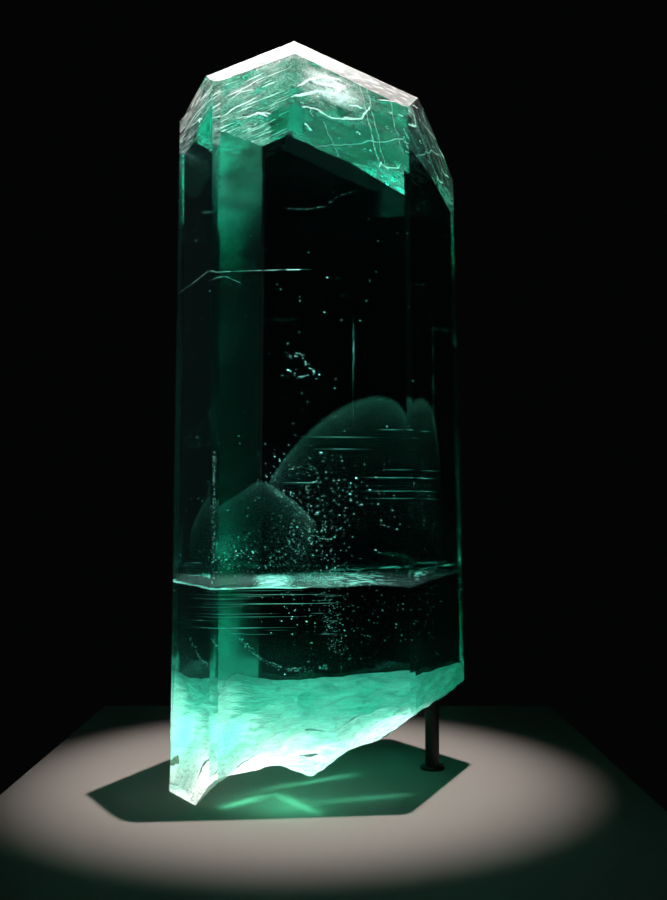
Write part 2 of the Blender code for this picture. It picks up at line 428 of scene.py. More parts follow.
def left_ledges() -> list[Etch]:
    """Main diagonal ledges of the left roof."""
    return [
        Etch(((-47, 52), (-40.6, 50), (-29, 48)), 0.15, 0.4),
        Etch(((-48, 28), (-36, 24.7), (-24, 23)), 0.15, 0.4),
        Etch(((-47, 38), (-36, 37), (-26, 34.5)), 0.1, 0.4),
        Etch(((-48, 23.6), (-42, 21), (-36, 20.7), (-28, 24.6)), 0.0),
        Etch(((-42, 64.6), (-36, 63), (-30, 65), (-25.5, 71)), 0.15, 0.4),
        Etch(((-43.5, 59), (-33, 62), (-19, 74)), 0.0),
        Etch(((-45, 42), (-38, 38.6), (-31, 42)), 0.0),
        Etch(((-52.5, 45), (-48.6, 35.6), (-46.7, 26)), 0.1),
        Etch(((-60, 36), (-55, 28), (-50, 18)), 0.2),
    ]


@dataclass(frozen=True)
class RoofForm:
    """Etched termination: two low planes with shingles, etched lines, pits and frost."""

    apex: Triple = (-15.9, 13.2, 312.6)
    left_rise: Pair = (0.500, -0.260)
    right_rise: Pair = (-0.387, -0.263)
    rim_cuts: tuple[tuple[Plane, Skin], ...] = (
        (((-15.9, 4.2, 303.0), 0.42, 1.07), Skin.FRAYED),
        (((-15.9, 4.2, 303.0), -0.4545, 1.07), Skin.RIM),
        (((8.0, 96.6, 281.0), -0.60, -0.75), Skin.FRAYED),
    )
    lines: tuple[Etch, ...] = field(
        default_factory=lambda: tuple(wavy_ledges() + short_marks() + left_ledges()))
    drops: tuple[Outline, ...] = (
        ((-16, 71), (-4, 65), (8, 62), (16, 53), (30, 40), (48, 36)),
        ((-16, 100), (-4.6, 97), (5, 87), (18, 73), (34, 56.5), (46, 50)),
    )
    drop: float = 0.7
    shingles: tuple[float, ...] = (
        8.0, 19.0, 27.0, 38.0, 46.0, 57.0, 69.0, 78.0, 90.0, 103.0, 116.0)
    shingle_turn: float = -0.25
    shingle_rise: float = 0.8
    window: tuple[float, float, float, float] = (-25.0, -9.0, 68.0, 92.0)
    scratches: int = 190
    pits: int = 420
    pit_radius: Pair = (0.5, 1.9)
    pit_depth: Pair = (0.12, 0.5)

    def plane(self, rise: Pair, x: np.ndarray, y: np.ndarray) -> np.ndarray:
        """Height of a roof plane over each place."""
        return self.apex[2] + rise[0] * (x - self.apex[0]) + rise[1] * (y - self.apex[1])

    def fine_scratches(self) -> list[Etch]:
        """Short etched strokes, close and slanting on the left roof, sparse on the right.

        Returns:
            The strokes.
        """
        rng = random.Random(31)
        strokes = []
        for _ in range(self.scratches):
            left = rng.random() < 0.72
            x = rng.uniform(-62.0, -18.0) if left else rng.uniform(-12.0, 52.0)
            y = rng.uniform(4.0, 88.0)
            turn = rng.gauss(-0.12, 0.22) if left else rng.gauss(1.25, 0.35)
            length = rng.uniform(2.0, 11.0) if left else rng.uniform(3.0, 16.0)
            bend = rng.uniform(-0.12, 0.12) * length
            dx, dy = length * math.cos(turn), length * math.sin(turn)
            middle = (x + dx / 2.0 - bend * math.sin(turn), y + dy / 2.0 + bend * math.cos(turn))
            run = ((x, y), middle, (x + dx, y + dy))
            strokes.append(Etch(run, rng.uniform(-0.38, -0.12), 0.0, rng.uniform(0.9, 1.0)))
        return strokes

    def shingle_relief(self, x: np.ndarray, y: np.ndarray) -> np.ndarray:
        """Saw-tooth relief of the ledges that run down the left roof.

        Args:
            x: places along x, in mm.
            y: places along y, in mm.

        Returns:
            Height in mm, zero or less.
        """
        start = y - self.shingle_turn * (x - self.apex[0]) + 1.2 * value_noise(x, y, 9.0, 6)
        relief = np.zeros_like(x)
        for low, high in zip(self.shingles, self.shingles[1:]):
            share = (start - low) / (high - low)
            relief = np.where((share >= 0.0) & (share < 1.0), -self.shingle_rise * share, relief)
        return relief

    def drop_relief(self, x: np.ndarray, y: np.ndarray) -> np.ndarray:
        """Drop beyond the two long ledges that cross the right roof.

        Args:
            x: places along x, in mm.
            y: places along y, in mm.

        Returns:
            Height in mm, zero or less.
        """
        relief = np.zeros_like(x)
        wander = 0.8 * value_noise(x, y, 6.0, 5)
        for line in self.drops:
            beyond = y - follow(x, line) + wander
            relief = relief - self.drop * smooth_step(beyond, -0.5, 0.5)
        return relief

    def pitting(self, x: np.ndarray, y: np.ndarray) -> tuple[np.ndarray, np.ndarray]:
        """Depth and frost of small etch pits.

        Args:
            x: places along x, in mm.
            y: places along y, in mm.

        Returns:
            Height in mm, zero or less, and frost from 0 to 1.
        """
        rng = random.Random(7)
        relief, frost = np.zeros_like(x), np.zeros_like(x)
        for _ in range(self.pits):
            cx, cy = rng.uniform(-72.0, 70.0), rng.uniform(0.0, 100.0)
            radius, depth = rng.uniform(*self.pit_radius), rng.uniform(*self.pit_depth)
            bright = rng.uniform(0.2, 1.0)
            away = np.hypot(x - cx, y - cy)
            relief = np.minimum(relief, -depth * np.clip(1.0 - away / radius, 0.0, 1.0))
            frost = np.maximum(frost, bright * tent(np.abs(away - 0.5 * radius) + 0.12))
        return relief, frost

    def haze(self, x: np.ndarray, y: np.ndarray) -> np.ndarray:
        """Broad frosting: strong at the peak and on the left roof, thin on the right.

        Args:
            x: places along x, in mm.
            y: places along y, in mm.

        Returns:
            Frost from 0 to 1.
        """
        peak = 3.6 * spot(x, y, (-9.0, 12.0), (20.0, 12.0)) * smooth_step(x, -44.0, -20.0)
        wave = 2.1 * spot(x, y, (0.0, 42.0), (11.0, 11.0))
        left = 0.30 * smooth_step(-x, 14.0, 30.0)
        right = 0.05 + 0.30 * smooth_step(y, 74.0, 96.0) * smooth_step(x, 18.0, 34.0)
        patches = 0.5 + 0.5 * value_noise(x, y, 7.0, 41) + 0.35 * value_noise(x, y, 2.6, 42)
        ragged = 4.0 + 3.0 * value_noise(x, y, 6.0, 46) + 1.5 * value_noise(x, y, 2.0, 47)
        front = (1.0 - smooth_step(y, ragged, ragged + 4.0)) * smooth_step(x, -26.0, -14.0)
        total = (peak + wave + left + right + front) * patches
        return np.clip(0.55 * total, 0.0, 1.0)

    def unetched(self, x: np.ndarray, y: np.ndarray) -> np.ndarray:
        """Share of the smooth window, with a soft border a millimetre wide.

        Args:
            x: places along x, in mm.
            y: places along y, in mm.

        Returns:
            One in the window and zero outside it.
        """
        low_x, high_x, low_y, high_y = self.window
        clear = smooth_step(x, low_x, low_x + 1.0) * smooth_step(-x, -high_x, 1.0 - high_x)
        return clear * smooth_step(y, low_y, low_y + 1.0) * smooth_step(-y, -high_y, 1.0 - high_y)

    def surface(self, x: np.ndarray, y: np.ndarray) -> Relief:
        """Height and markings of the termination over each place.

        Args:
            x: places along x, in mm.
            y: places along y, in mm.

        Returns:
            The rough surface.
        """
        left = self.plane(self.left_rise, x, y)
        right = self.plane(self.right_rise, x, y)
        relief = np.where(left < right, self.shingle_relief(x, y), self.drop_relief(x, y))
        pit_relief, etched = self.pitting(x, y)
        relief = relief + pit_relief
        warped_x = x + 0.3 * value_noise(x, y, 3.6, 44)
        warped_y = y + 0.6 * value_noise(x, y, 4.4, 45)
        torn = 0.35 * value_noise(x, y, 2.2, 48)
        for etch in self.lines:
            away, share = distance_to_run(warped_x, warped_y, etch.run)
            taper = (2.0 * share - 1.0) ** 4
            relief = relief + etch.rise * np.exp(-np.clip(away / 0.9, 0.0, 9.0) ** 2)
            half = etch.width + max(etch.width, 0.0) * torn - (0.45 + etch.width) * taper
            etched = np.maximum(etched, tent(away - half) * etch.frost)
        for etch in self.fine_scratches():
            away, share = distance_to_run(x, y, etch.run)
            half = etch.width - 0.3 * (2.0 * share - 1.0) ** 2
            etched = np.maximum(etched, tent(away - half) * etch.frost)
        clear = self.unetched(x, y)
        fine = 0.10 * value_noise(x, y, 3.2, 11) + 0.05 * value_noise(x, y, 1.5, 12)
        worn = np.abs(value_noise(x, y, 4.5, 13)) + 0.5 * np.abs(value_noise(x, y, 1.8, 14))
        relief = relief - 1.6 * worn * (1.0 - smooth_step(y, 5.0, 12.0))
        near_ridge = smooth_step(np.abs(x - self.apex[0]), 0.2, 2.0)
        height = np.minimum(left, right) + near_ridge * relief * (1.0 - 0.8 * clear)
        keep = 1.0 - clear
        # Painted greening: teal where the scattered light has come through more crystal, towards the
        # back, in the smooth window and at the far right.
        green = 0.55 * smooth_step(y, 24.0, 80.0) * smooth_step(x, -30.0, 20.0) + 0.45 * clear
        green = np.maximum(green, 0.45 * smooth_step(x, 36.0, 52.0))
        return Relief(height + fine * keep, self.haze(x, y) * keep, etched * keep, 0.0 * x, green)


@dataclass(frozen=True)
class BreakForm:
    """Broken base: a slanting fracture with shell-like hollows and a foot."""

    prism: PrismForm = field(default_factory=PrismForm)
    places: tuple[Triple, ...] = (
        (-64.5, 30.0, -1.6), (-59.9, 22.0, -1.8), (-55.0, 13.6, -0.9), (-50.4, 5.6, 6.6),
        (-46.4, 0.0, 12.2), (-57.0, 49.0, -1.8), (-63.0, 39.0, -1.8), (-52.0, 31.0, -0.8),
        (-49.0, 45.0, 2.0), (-49.0, 18.0, 4.0), (-33.8, 0.0, 15.6), (-23.0, 0.0, 17.8),
        (-8.3, 0.0, 13.9), (-0.6, 0.0, 18.6), (5.3, 0.0, 22.7), (13.9, 0.0, 25.6),
        (21.0, 0.0, 28.9), (31.0, 0.0, 35.5), (39.0, 13.4, 36.4), (50.5, 33.4, 36.8),
        (65.0, 57.0, 39.6), (42.0, 98.0, 43.0), (17.0, 98.0, 41.0), (-5.0, 98.0, 39.5),
        (-27.0, 98.0, 38.0), (-43.5, 72.5, 41.0), (-52.0, 58.0, 15.0), (-35.0, 30.0, 13.0),
        (-20.0, 30.0, 20.0), (0.0, 30.0, 23.0), (20.0, 30.0, 31.0), (0.0, 62.0, 33.0),
        (-30.0, 58.0, 27.0), (30.0, 62.0, 38.0),
    )
    seed: int = 18
    block_x: Pair = (-75.9, 71.1)
    block_y: Pair = (-6.0, 105.0)
    spacing: float = 12.5
    jitter: float = 5.0
    radius: float = 9.0
    rise: Pair = (-0.4, 2.4)
    quiet: float = 12.0
    edge_share: float = 0.25
    flake: float = 3.0
    flake_share: float = 0.2
    # Runs of the dark marks, each with its width: painted shade in the open cracks, and dark olive
    # chips along the torn edge.
    crack_runs: tuple[tuple[Outline, float], ...] = (
        (((-61, 52), (-55, 55), (-49, 53)), 0.4),
        (((-44, 30), (-38, 33), (-30, 31), (-25, 33)), 0.3),
        (((-24, 16), (-14, 13), (-6, 15)), 0.0),
        (((-30, 24), (-18, 20), (-8, 24), (4, 21)), 0.0),
        (((-10, 40), (4, 36), (14, 40)), 0.0),
        (((20, 1), (31, 2), (37, 8)), 0.9),
        (((52, 39), (57, 46), (62, 53)), 1.0),
        (((44, 26), (48, 33)), 0.3),
    )
    peg_seat: tuple[float, float, float, float] = (49.5, 58.0, 35.3, 3.2)
    clearance: float = 0.05

    @staticmethod
    def kernel(squared: np.ndarray) -> np.ndarray:
        """Thin-plate kernel of a squared distance."""
        return 0.5 * squared * np.log(np.maximum(squared, 1e-12))

    def broad(self, x: np.ndarray, y: np.ndarray) -> np.ndarray:
        """Smooth surface through the known heights.

        Args:
            x: places along x, in mm.
            y: places along y, in mm.

        Returns:
            Height in mm.
        """
        known = np.array(self.places)
        place, height = known[:, :2], known[:, 2]
        count = len(place)
        squared = ((place[:, None, :] - place[None, :, :]) ** 2).sum(axis=2)
        flat = np.column_stack((np.ones(count), place))
        system = np.zeros((count + 3, count + 3))
        system[:count, :count] = self.kernel(squared)
        system[:count, count:] = flat
        system[count:, :count] = flat.T
        weights = np.linalg.solve(system, np.concatenate((height, np.zeros(3))))
        total = weights[count] + weights[count + 1] * x + weights[count + 2] * y
        for weight, (px, py) in zip(weights, place):
            total = total + weight * self.kernel((x - px) ** 2 + (y - py) ** 2)
        return total

    def cells(self) -> list[Triple]:
        """Centres and rises of the shell-like hollows, on the same shaken grid as the solid.

        Returns:
            The place along x and y and the rise of each, in mm.
        """
        rng = random.Random(self.seed)
        columns = int((self.block_x[1] - self.block_x[0]) / self.spacing) + 2
        rows = int((self.block_y[1] - self.block_y[0]) / self.spacing) + 2
        cells = []
        for i in range(columns):
            for j in range(rows):
                x = self.block_x[0] + i * self.spacing + rng.uniform(-self.jitter, self.jitter)
                y = self.block_y[0] + j * self.spacing + rng.uniform(-self.jitter, self.jitter)
                cells.append((x, y, rng.uniform(*self.rise)))
        return cells

    def hackles(self, x: np.ndarray, y: np.ndarray) -> np.ndarray:
        """Fine torn ridges, drawn out along x.

        Args:
            x: places along x, in mm.
            y: places along y, in mm.

        Returns:
            Height in mm.
        """
        bend = 4.0 * value_noise(x, y, 20.0, 21)
        total = np.zeros_like(x)
        for octave, (cell, rise) in enumerate(((11.0, 1.5), (4.5, 0.45), (2.0, 0.12))):
            ridge = 1.0 - np.abs(value_noise(x / 2.2 + bend, y + bend, cell, 22 + octave))
            total = total + rise * ridge * ridge
        return total

    def flakes(self, height: np.ndarray, x: np.ndarray, y: np.ndarray) -> np.ndarray:
        """Step a height in thin flakes with rounded edges.

        Args:
            height: the height, in mm.
            x: places along x, in mm.
            y: places along y, in mm.

        Returns:
            The stepped height, in mm.
        """
        shaken = height / self.flake + 0.5 * value_noise(x, y, 8.0, 27)
        whole = np.floor(shaken)
        stepped = (whole + smooth_step(shaken - whole, 0.45, 0.95)) * self.flake
        return height + self.flake_share * (stepped - shaken * self.flake)

    def cracks(self, x: np.ndarray, y: np.ndarray) -> np.ndarray:
        """Painted shade in the open cracks, and dark olive chips along the torn edge.

        Args:
            x: places along x, in mm.
            y: places along y, in mm.

        Returns:
            One in a crack, falling to zero beside it.
        """
        wander = 0.7 * value_noise(x, y, 3.0, 55) + 0.3 * value_noise(x, y, 1.3, 56)
        total = np.zeros_like(x)
        for run, width in self.crack_runs:
            total = np.maximum(total, tent(distance_to_run(x, y, run)[0] + wander - width))
        return total

    def surface(self, x: np.ndarray, y: np.ndarray) -> Relief:
        """Height and markings of the underside over each place.

        Args:
            x: places along x, in mm.
            y: places along y, in mm.

        Returns:
            The rough surface.
        """
        domes = np.full_like(x, -1e9)
        for cx, cy, rise in self.cells():
            domes = np.maximum(domes, rise - ((x - cx) ** 2 + (y - cy) ** 2) / (2.0 * self.radius))
        quiet = np.clip(self.prism.depth(x, y) / self.quiet, 0.0, 1.0)
        share = self.edge_share + (1.0 - self.edge_share) * quiet
        torn = share * (0.45 * domes + self.hackles(x, y))
        height = self.flakes(self.broad(x, y) + torn, x, y)
        peg_x, peg_y, peg_top, seat = self.peg_seat
        seated = 1.0 - smooth_step(np.hypot(x - peg_x, y - peg_y), seat, seat + 2.0)
        height = height * (1.0 - seated) + np.maximum(height, peg_top) * seated
        patches = 0.5 + 0.5 * value_noise(x, y, 5.0, 51) + 0.3 * value_noise(x, y, 1.9, 52)
        front = np.exp(-np.clip(y, 0.0, None) / 30.0)
        foot = spot(x, y, (-50.0, 14.0), (20.0, 26.0))
        frost = np.clip((0.10 + 0.9 * front + 0.7 * foot) * (0.25 + 1.1 * patches), 0.0, 1.0)
        # Painted greening: white at the front and foot, where the light is strongest, deepening to
        # teal towards the back and right, in streaks.
        painted_streaks = 0.25 * value_noise(x / 2.0, y, 7.0, 53)
        green = np.clip(smooth_step(y + 0.35 * x, 8.0, 62.0) + painted_streaks * (1.0 - foot), 0.0, 1.0)
        height = np.maximum(self.clearance, height)
        return Relief(height, frost, 0.0 * x, self.cracks(x, y), green)


@dataclass
class Crystal:
    """The aquamarine itself, cut from a block with a fine roof and a fine break.

    The block's grid has one step in mm, points nearer than the weld are merged, and an edge
    that turns by more than the sharp angle, in degrees, stays crisp.
    """

    prism: PrismForm = field(default_factory=PrismForm)
    roof: RoofForm = field(default_factory=RoofForm)
    broken: BreakForm = field(default_factory=BreakForm)
    step: float = 0.52
    weld: float = 0.01
    sharp: float = 24.0

    def block(self) -> bmesh.types.BMesh:
        """Closed block with the fine roof on top and the fine break below.

        Returns:
            The block in triangles, with a skin on each face and the markings on each point.
        """
        low_x, high_x = self.broken.block_x
        low_y, high_y = self.broken.block_y
        xs = np.concatenate((
            np.arange(self.roof.apex[0], low_x, -self.step)[::-1],
            np.arange(self.roof.apex[0] + self.step, high_x, self.step)))
        ys = np.arange(low_y, high_y, self.step)
        gx, gy = np.meshgrid(xs, ys, indexing="ij")
        reliefs = [form.surface(gx, gy) for form in (self.broken, self.roof)]
        verts = np.concatenate([np.column_stack((gx.ravel(), gy.ravel(), relief.height.ravel()))
                                for relief in reliefs])
        faces = slab_faces(*gx.shape)
        layer = (gx.shape[0] - 1) * (gx.shape[1] - 1)
        mesh = bpy.data.meshes.new("block")
        mesh.from_pydata(verts.tolist(), [], faces.tolist())
        skins = np.full(len(faces), Skin.PRISM.value)
        skins[:layer] = Skin.BREAK.value
        skins[layer:2 * layer] = Skin.ROOF.value
        mesh.attributes.new("skin", "INT", "FACE").data.foreach_set("value", skins)
        # The markings include the painted greening and the painted shade of the cracks.
        for marking in ("frost", "etch", "stain_and_crack_shade", "green"):
            values = np.concatenate([getattr(relief, marking).ravel() for relief in reliefs])
            mesh.attributes.new(marking, "FLOAT", "POINT").data.foreach_set("value", values)
        bm = bmesh.new()
        bm.from_mesh(mesh)
        bpy.data.meshes.remove(mesh)
        bmesh.ops.triangulate(bm, faces=bm.faces[:])
        return bm

    def cut(self, bm: bmesh.types.BMesh, point: Vector, normal: Vector, skin: Skin) -> None:
        """Cut off what lies beyond a plane and close the cut.

        Args:
            bm: the crystal.
            point: a point of the plane.
            normal: outward direction.
            skin: what the new face is.
        """
        everything = bm.verts[:] + bm.edges[:] + bm.faces[:]
        bmesh.ops.bisect_plane(bm, geom=everything, dist=self.weld / 10.0, plane_co=point,
                               plane_no=normal.normalized(), clear_outer=True)
        rim = [edge for edge in bm.edges if edge.is_boundary]
        layer = bm.faces.layers.int["skin"]
        for face in bmesh.ops.holes_fill(bm, edges=rim, sides=0)["faces"]:
            face[layer] = skin.value

    def build(self, material: bpy.types.Material) -> bpy.types.Object:
        """Cut the crystal and put its material on.

        Args:
            material: the clear beryl.

        Returns:
            The crystal's object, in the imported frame.
        """
        bm = self.block()
        for point, normal, skin in self.prism.cuts():
            self.cut(bm, point, normal, skin)
        for (point, rise_x, rise_y), skin in self.roof.rim_cuts:
            self.cut(bm, Vector(point), Vector((-rise_x, -rise_y, 1.0)), skin)
        bmesh.ops.remove_doubles(bm, verts=bm.verts[:], dist=self.weld)
        bmesh.ops.dissolve_degenerate(bm, edges=bm.edges[:], dist=self.weld / 2.0)
        bmesh.ops.triangulate(bm, faces=bm.faces[:])
        bmesh.ops.recalc_face_normals(bm, faces=bm.faces[:])
        bmesh.ops.transform(bm, matrix=FRAME_TO_WORLD, verts=bm.verts[:])
        mesh = bpy.data.meshes.new("aquamarine")
        bm.to_mesh(mesh)
        bm.free()
        mesh.materials.append(material)
        mesh.shade_smooth()
        mesh.set_sharp_from_angle(angle=math.radians(self.sharp))
        crystal = put_in_scene("aquamarine", mesh)
        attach(crystal, BODY)
        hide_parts("aquamarine_crystal")
        LOG.info("aquamarine: %d faces", len(mesh.polygons))
        return crystal


# ---------------------------------------------------------------- finishes


@dataclass(frozen=True)
class SkinFinish:
    """Roughness, clearness and scatter of one kind of face.

    Each is a pair: its value where the face is plain, and what full frosting adds.
    """

    skin: Skin
    rough: Pair
    clear: Pair = (1.0, 0.0)
    scatter: Pair = (0.0, 0.0)


@dataclass(frozen=True)
class ClearBeryl:
    """Aquamarine, a clear iron-coloured beryl, as grown and etched, with a broken base.

    Its growth faces are glassy with faint upright striae, the etched top is half frosted and
    the torn base scatters light, so it glows while the body stays clear. Its heights and
    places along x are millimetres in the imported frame.
    """

    ior: float = 1.577
    tint: str = "#FFFFFF"
    # Teal that the greening mixes in: painted light colour for light that has come through much
    # crystal.
    painted_deep_teal: str = "#58E4C0"
    # Teal painted on the light that the grown faces scatter, for light that has come through the
    # crystal.
    painted_scatter_teal: str = "#48DDB8"
    # Dark olive of the chips, also used as painted shade in the cracks.
    stain_and_crack_shade: str = "#2A3320"
    absorb: Triple = (0.0, 0.829, 0.74)
    density: float = 9.6
    # Low haze: full below the first height, gone above the second, thinner to the right.
    haze_levels: Pair = (34.0, 84.0)
    haze_share: float = 0.019
    haze_reach: Pair = (-26.0, 22.0)
    # Spacings of the patterns along x, y and z. Real striae and etch grain are mostly finer
    # than this and would not show, so both are drawn as coarse as they need to be.
    striae_mm: Triple = (1.1, 1.1, 55.0)
    grain_mm: float = 0.8
    swirl_mm: Triple = (8.0, 2.4, 8.0)
    shingle_mm: Triple = (16.0, 1.3, 16.0)
    torn_mm: Triple = (7.0, 3.0, 1.6)
    chip_mm: Triple = (5.0, 1.6, 3.0)
    # Scored lines: half width of the full line and where it is gone, and how far it strays.
    line_mm: Pair = (0.04, 0.22)
    stray_mm: float = 1.6
    # The peak, and where the left roof and the thin left rim are fully themselves.
    peak_x: float = -15.2
    left_roof_x: float = -22.0
    left_rim_x: float = -26.0
    left_rim: float = 0.22
    right_rim: float = 0.42
    finishes: tuple[SkinFinish, ...] = (
        SkinFinish(Skin.PRISM, (0.015, 0.0)),
        SkinFinish(Skin.ROOF, (0.22, 0.60), (1.0, -0.45), (0.010, 0.85)),
        SkinFinish(Skin.BREAK, (0.30, 0.50), (0.72, -0.72), (0.03, 0.30)),
        SkinFinish(Skin.RIM, (0.10, 0.43), (1.0, -0.95), (0.004, 0.146)),
        SkinFinish(Skin.EDGE, (0.06, 0.0), (1.0, 0.0), (0.0015, 0.0)),
        SkinFinish(Skin.STRIATED, (0.18, 0.0)),
        SkinFinish(Skin.FRAYED, (0.10, 0.50), (1.0, -0.08), (0.006, 0.16)),
    )

    def build(self) -> bpy.types.Material:
        """Make the material.

        Returns:
            The material.
        """
        material, tree = new_material("clear_beryl_grown_and_etched")
        out = add_node(tree, "ShaderNodeOutputMaterial")
        place = add_node(tree, "ShaderNodeTexCoord").outputs["Object"]
        skin, haze, etch, stain_and_crack_shade, green = (
            add_node(tree, "ShaderNodeAttribute", {"attribute_name": name}).outputs["Fac"]
            for name in ("skin", "frost", "etch", "stain_and_crack_shade", "green"))
        is_break = self.where(tree, skin, Skin.BREAK)
        # Surface colour with painted light colour: the greening, painted shade in the cracks and dark
        # olive chips.
        tint = self.painted_light_tinting(tree, is_break, stain_and_crack_shade, green)
        # The scattered light is painted teal on the grown faces.
        glow_tint = self.painted_glow_tinting(tree, skin, tint)
        grain = drawn_out_noise(tree, place, self.torn_mm, 5.0, 0.65)
        chips = self.chipping(tree, place)
        frost = self.frosting(tree, place, haze, etch)
        frosts = {Skin.BREAK: self.tearing(tree, haze, grain), Skin.FRAYED: chips,
                  Skin.RIM: self.wearing(tree, place, chips)}
        rough: Socket | None = None
        clear: Socket | None = None
        scatter: Socket | None = None
        for finish in self.finishes:
            mask = self.where(tree, skin, finish.skin)
            marks = frosts.get(finish.skin, frost)
            rough = self.share(tree, mask, marks, finish.rough, rough)
            clear = self.share(tree, mask, marks, finish.clear, clear)
            scatter = self.share(tree, mask, marks, finish.scatter, scatter)
        scatter = add_node(tree, "ShaderNodeMath", {"operation": "ADD"},
                           {0: scatter, 1: self.low_haze(tree, place)}).outputs[0]
        grooves = drawn_out_noise(tree, place, self.striae_mm, 3.0)
        bump = add_node(tree, "ShaderNodeBump", {"Strength": 0.10, "Distance": 0.2 * MM},
                        {"Height": grooves})
        torn_bump = add_node(tree, "ShaderNodeBump", {"Distance": 1.4 * MM}, {
            "Height": grain, "Strength": is_break, "Normal": bump.outputs[0]})
        shader = add_node(tree, "ShaderNodeBsdfPrincipled", {"IOR": self.ior}, {
            "Base Color": tint, "Roughness": rough, "Transmission Weight": clear,
            "Normal": torn_bump.outputs[0]})
        volume = add_node(tree, "ShaderNodeVolumeAbsorption", {
            "Color": (*self.absorb, 1.0), "Density": self.density})
        glow = add_node(tree, "ShaderNodeBsdfTranslucent", None, {"Color": glow_tint})
        surface = add_node(tree, "ShaderNodeMixShader", None, {
            0: scatter, 1: shader.outputs[0], 2: glow.outputs[0]})
        tree.links.new(surface.outputs[0], out.inputs["Surface"])
        tree.links.new(volume.outputs[0], out.inputs["Volume"])
        return material

    @staticmethod
    def where(tree: Tree, skin: Socket, which: Skin) -> Socket:
        """One on the faces of a skin and zero elsewhere."""
        return add_node(tree, "ShaderNodeMath", {
            "operation": "COMPARE", 1: float(which.value), 2: 0.4}, {0: skin}).outputs[0]

    def painted_light_tinting(self, tree: Tree, is_break: Socket, stain_and_crack_shade: Socket, green: Socket) -> Socket:
        """Colour of the surface, with painted light colour: greener where the light scattered there
        has come through more crystal, dark as painted shade in the cracks, and dark olive on the
        chips.

        Args:
            tree: the material's nodes.
            is_break: one on the torn base.
            stain_and_crack_shade: tent beside each dark crack and chip; in the cracks the dark is
                painted shade.
            green: how far the colour turns to the painted teal of light that has passed through more
                crystal.

        Returns:
            The colour.
        """
        crack = add_node(tree, "ShaderNodeMapRange", {
            "interpolation_type": "SMOOTHSTEP", "From Min": 0.66, "From Max": 0.85},
            {"Value": stain_and_crack_shade}).outputs[0]
        # Painted shade in the cracks, and dark olive chips, on the torn base only.
        stained_and_shaded = add_node(tree, "ShaderNodeMath", {"operation": "MULTIPLY"},
                           {0: crack, 1: is_break}).outputs[0]
        deep = add_node(tree, "ShaderNodeMix", {
            "data_type": "RGBA", 6: linear(self.tint), 7: linear(self.painted_deep_teal)}, {0: green})
        return add_node(tree, "ShaderNodeMix", {"data_type": "RGBA", 7: linear(self.stain_and_crack_shade)},
                        {0: stained_and_shaded, 6: deep.outputs[2]}).outputs[2]

    def painted_glow_tinting(self, tree: Tree, skin: Socket, tint: Socket) -> Socket:
        """Colour of the scattered light: a painted teal on the grown faces, for light that has passed
        through the crystal, and the tint elsewhere.

        Args:
            tree: the material's nodes.
            skin: what kind of face it is.
            tint: colour of the surface.

        Returns:
            The colour.
        """
        between = (Skin.EDGE.value + Skin.STRIATED.value) / 2.0
        is_facet = add_node(tree, "ShaderNodeMath", {"operation": "COMPARE", 1: between, 2: 0.9},
                            {0: skin}).outputs[0]
        is_grown = add_node(tree, "ShaderNodeMath", {"operation": "ADD"},
                            {0: self.where(tree, skin, Skin.PRISM), 1: is_facet}).outputs[0]
        return add_node(tree, "ShaderNodeMix", {"data_type": "RGBA", 7: linear(self.painted_scatter_teal)},
                        {0: is_grown, 6: tint}).outputs[2]

    @staticmethod
    def tearing(tree: Tree, haze: Socket, grain: Socket) -> Socket:
        """Frost of the torn base, in streaks.

        Args:
            tree: the material's nodes.
            haze: broad frost of the place.
            grain: noise drawn out along the tears.

        Returns:
            Frost from 0 to 1.
        """
        streaks = add_node(tree, "ShaderNodeMapRange", {
            "From Min": 0.40, "From Max": 0.60, "To Min": 0.10, "To Max": 1.75}, {"Value": grain})
        return add_node(tree, "ShaderNodeMath", {"operation": "MULTIPLY", "use_clamp": True},
                        {0: haze, 1: streaks.outputs[0]}).outputs[0]

    def frosting(self, tree: Tree, place: Socket, haze: Socket, etch: Socket) -> Socket:
        """Frost of the etched faces: grainy haze, wandering strokes and sharp lines.

        Args:
            tree: the material's nodes.
            place: where on the crystal.
            haze: broad frost of the place.
            etch: tent beside each etched line.

        Returns:
            Frost from 0 to 1.
        """
        line = add_node(tree, "ShaderNodeMapRange", {
            "interpolation_type": "SMOOTHSTEP", "From Min": 0.72, "From Max": 0.84},
            {"Value": etch}).outputs[0]
        grain = add_node(tree, "ShaderNodeTexNoise", {
            "Scale": per_mm(self.grain_mm), "Detail": 2.0, "Roughness": 0.6}, {"Vector": place})
        speck = add_node(tree, "ShaderNodeMapRange", {
            "From Min": 0.44, "From Max": 0.66, "To Min": 0.55, "To Max": 1.7},
            {"Value": grain.outputs[0]}).outputs[0]
        swirl = drawn_out_noise(tree, place, self.swirl_mm, 1.5, turn=0.25)
        level = add_node(tree, "ShaderNodeMath", {"operation": "COMPARE", 1: 0.5, 2: 0.007},
                         {0: swirl}).outputs[0]
        stroke = add_node(tree, "ShaderNodeMath", {"operation": "MULTIPLY_ADD", 1: 1.6},
                          {0: level, 2: speck}).outputs[0]
        grainy = add_node(tree, "ShaderNodeMath", {"operation": "MULTIPLY", "use_clamp": True},
                          {0: haze, 1: stroke}).outputs[0]
        shingle = drawn_out_noise(tree, place, self.shingle_mm, 2.5, turn=0.22)
        thin = add_node(tree, "ShaderNodeMapRange", {"From Min": 0.615, "From Max": 0.650},
                        {"Value": shingle}).outputs[0]
        x = add_node(tree, "ShaderNodeSeparateXYZ", None, {0: place}).outputs[0]
        on_left = add_node(tree, "ShaderNodeMapRange", {
            "From Min": self.peak_x * MM, "From Max": self.left_roof_x * MM},
            {"Value": x}).outputs[0]
        ledges = add_node(tree, "ShaderNodeMath", {"operation": "MULTIPLY"},
                          {0: thin, 1: on_left}).outputs[0]
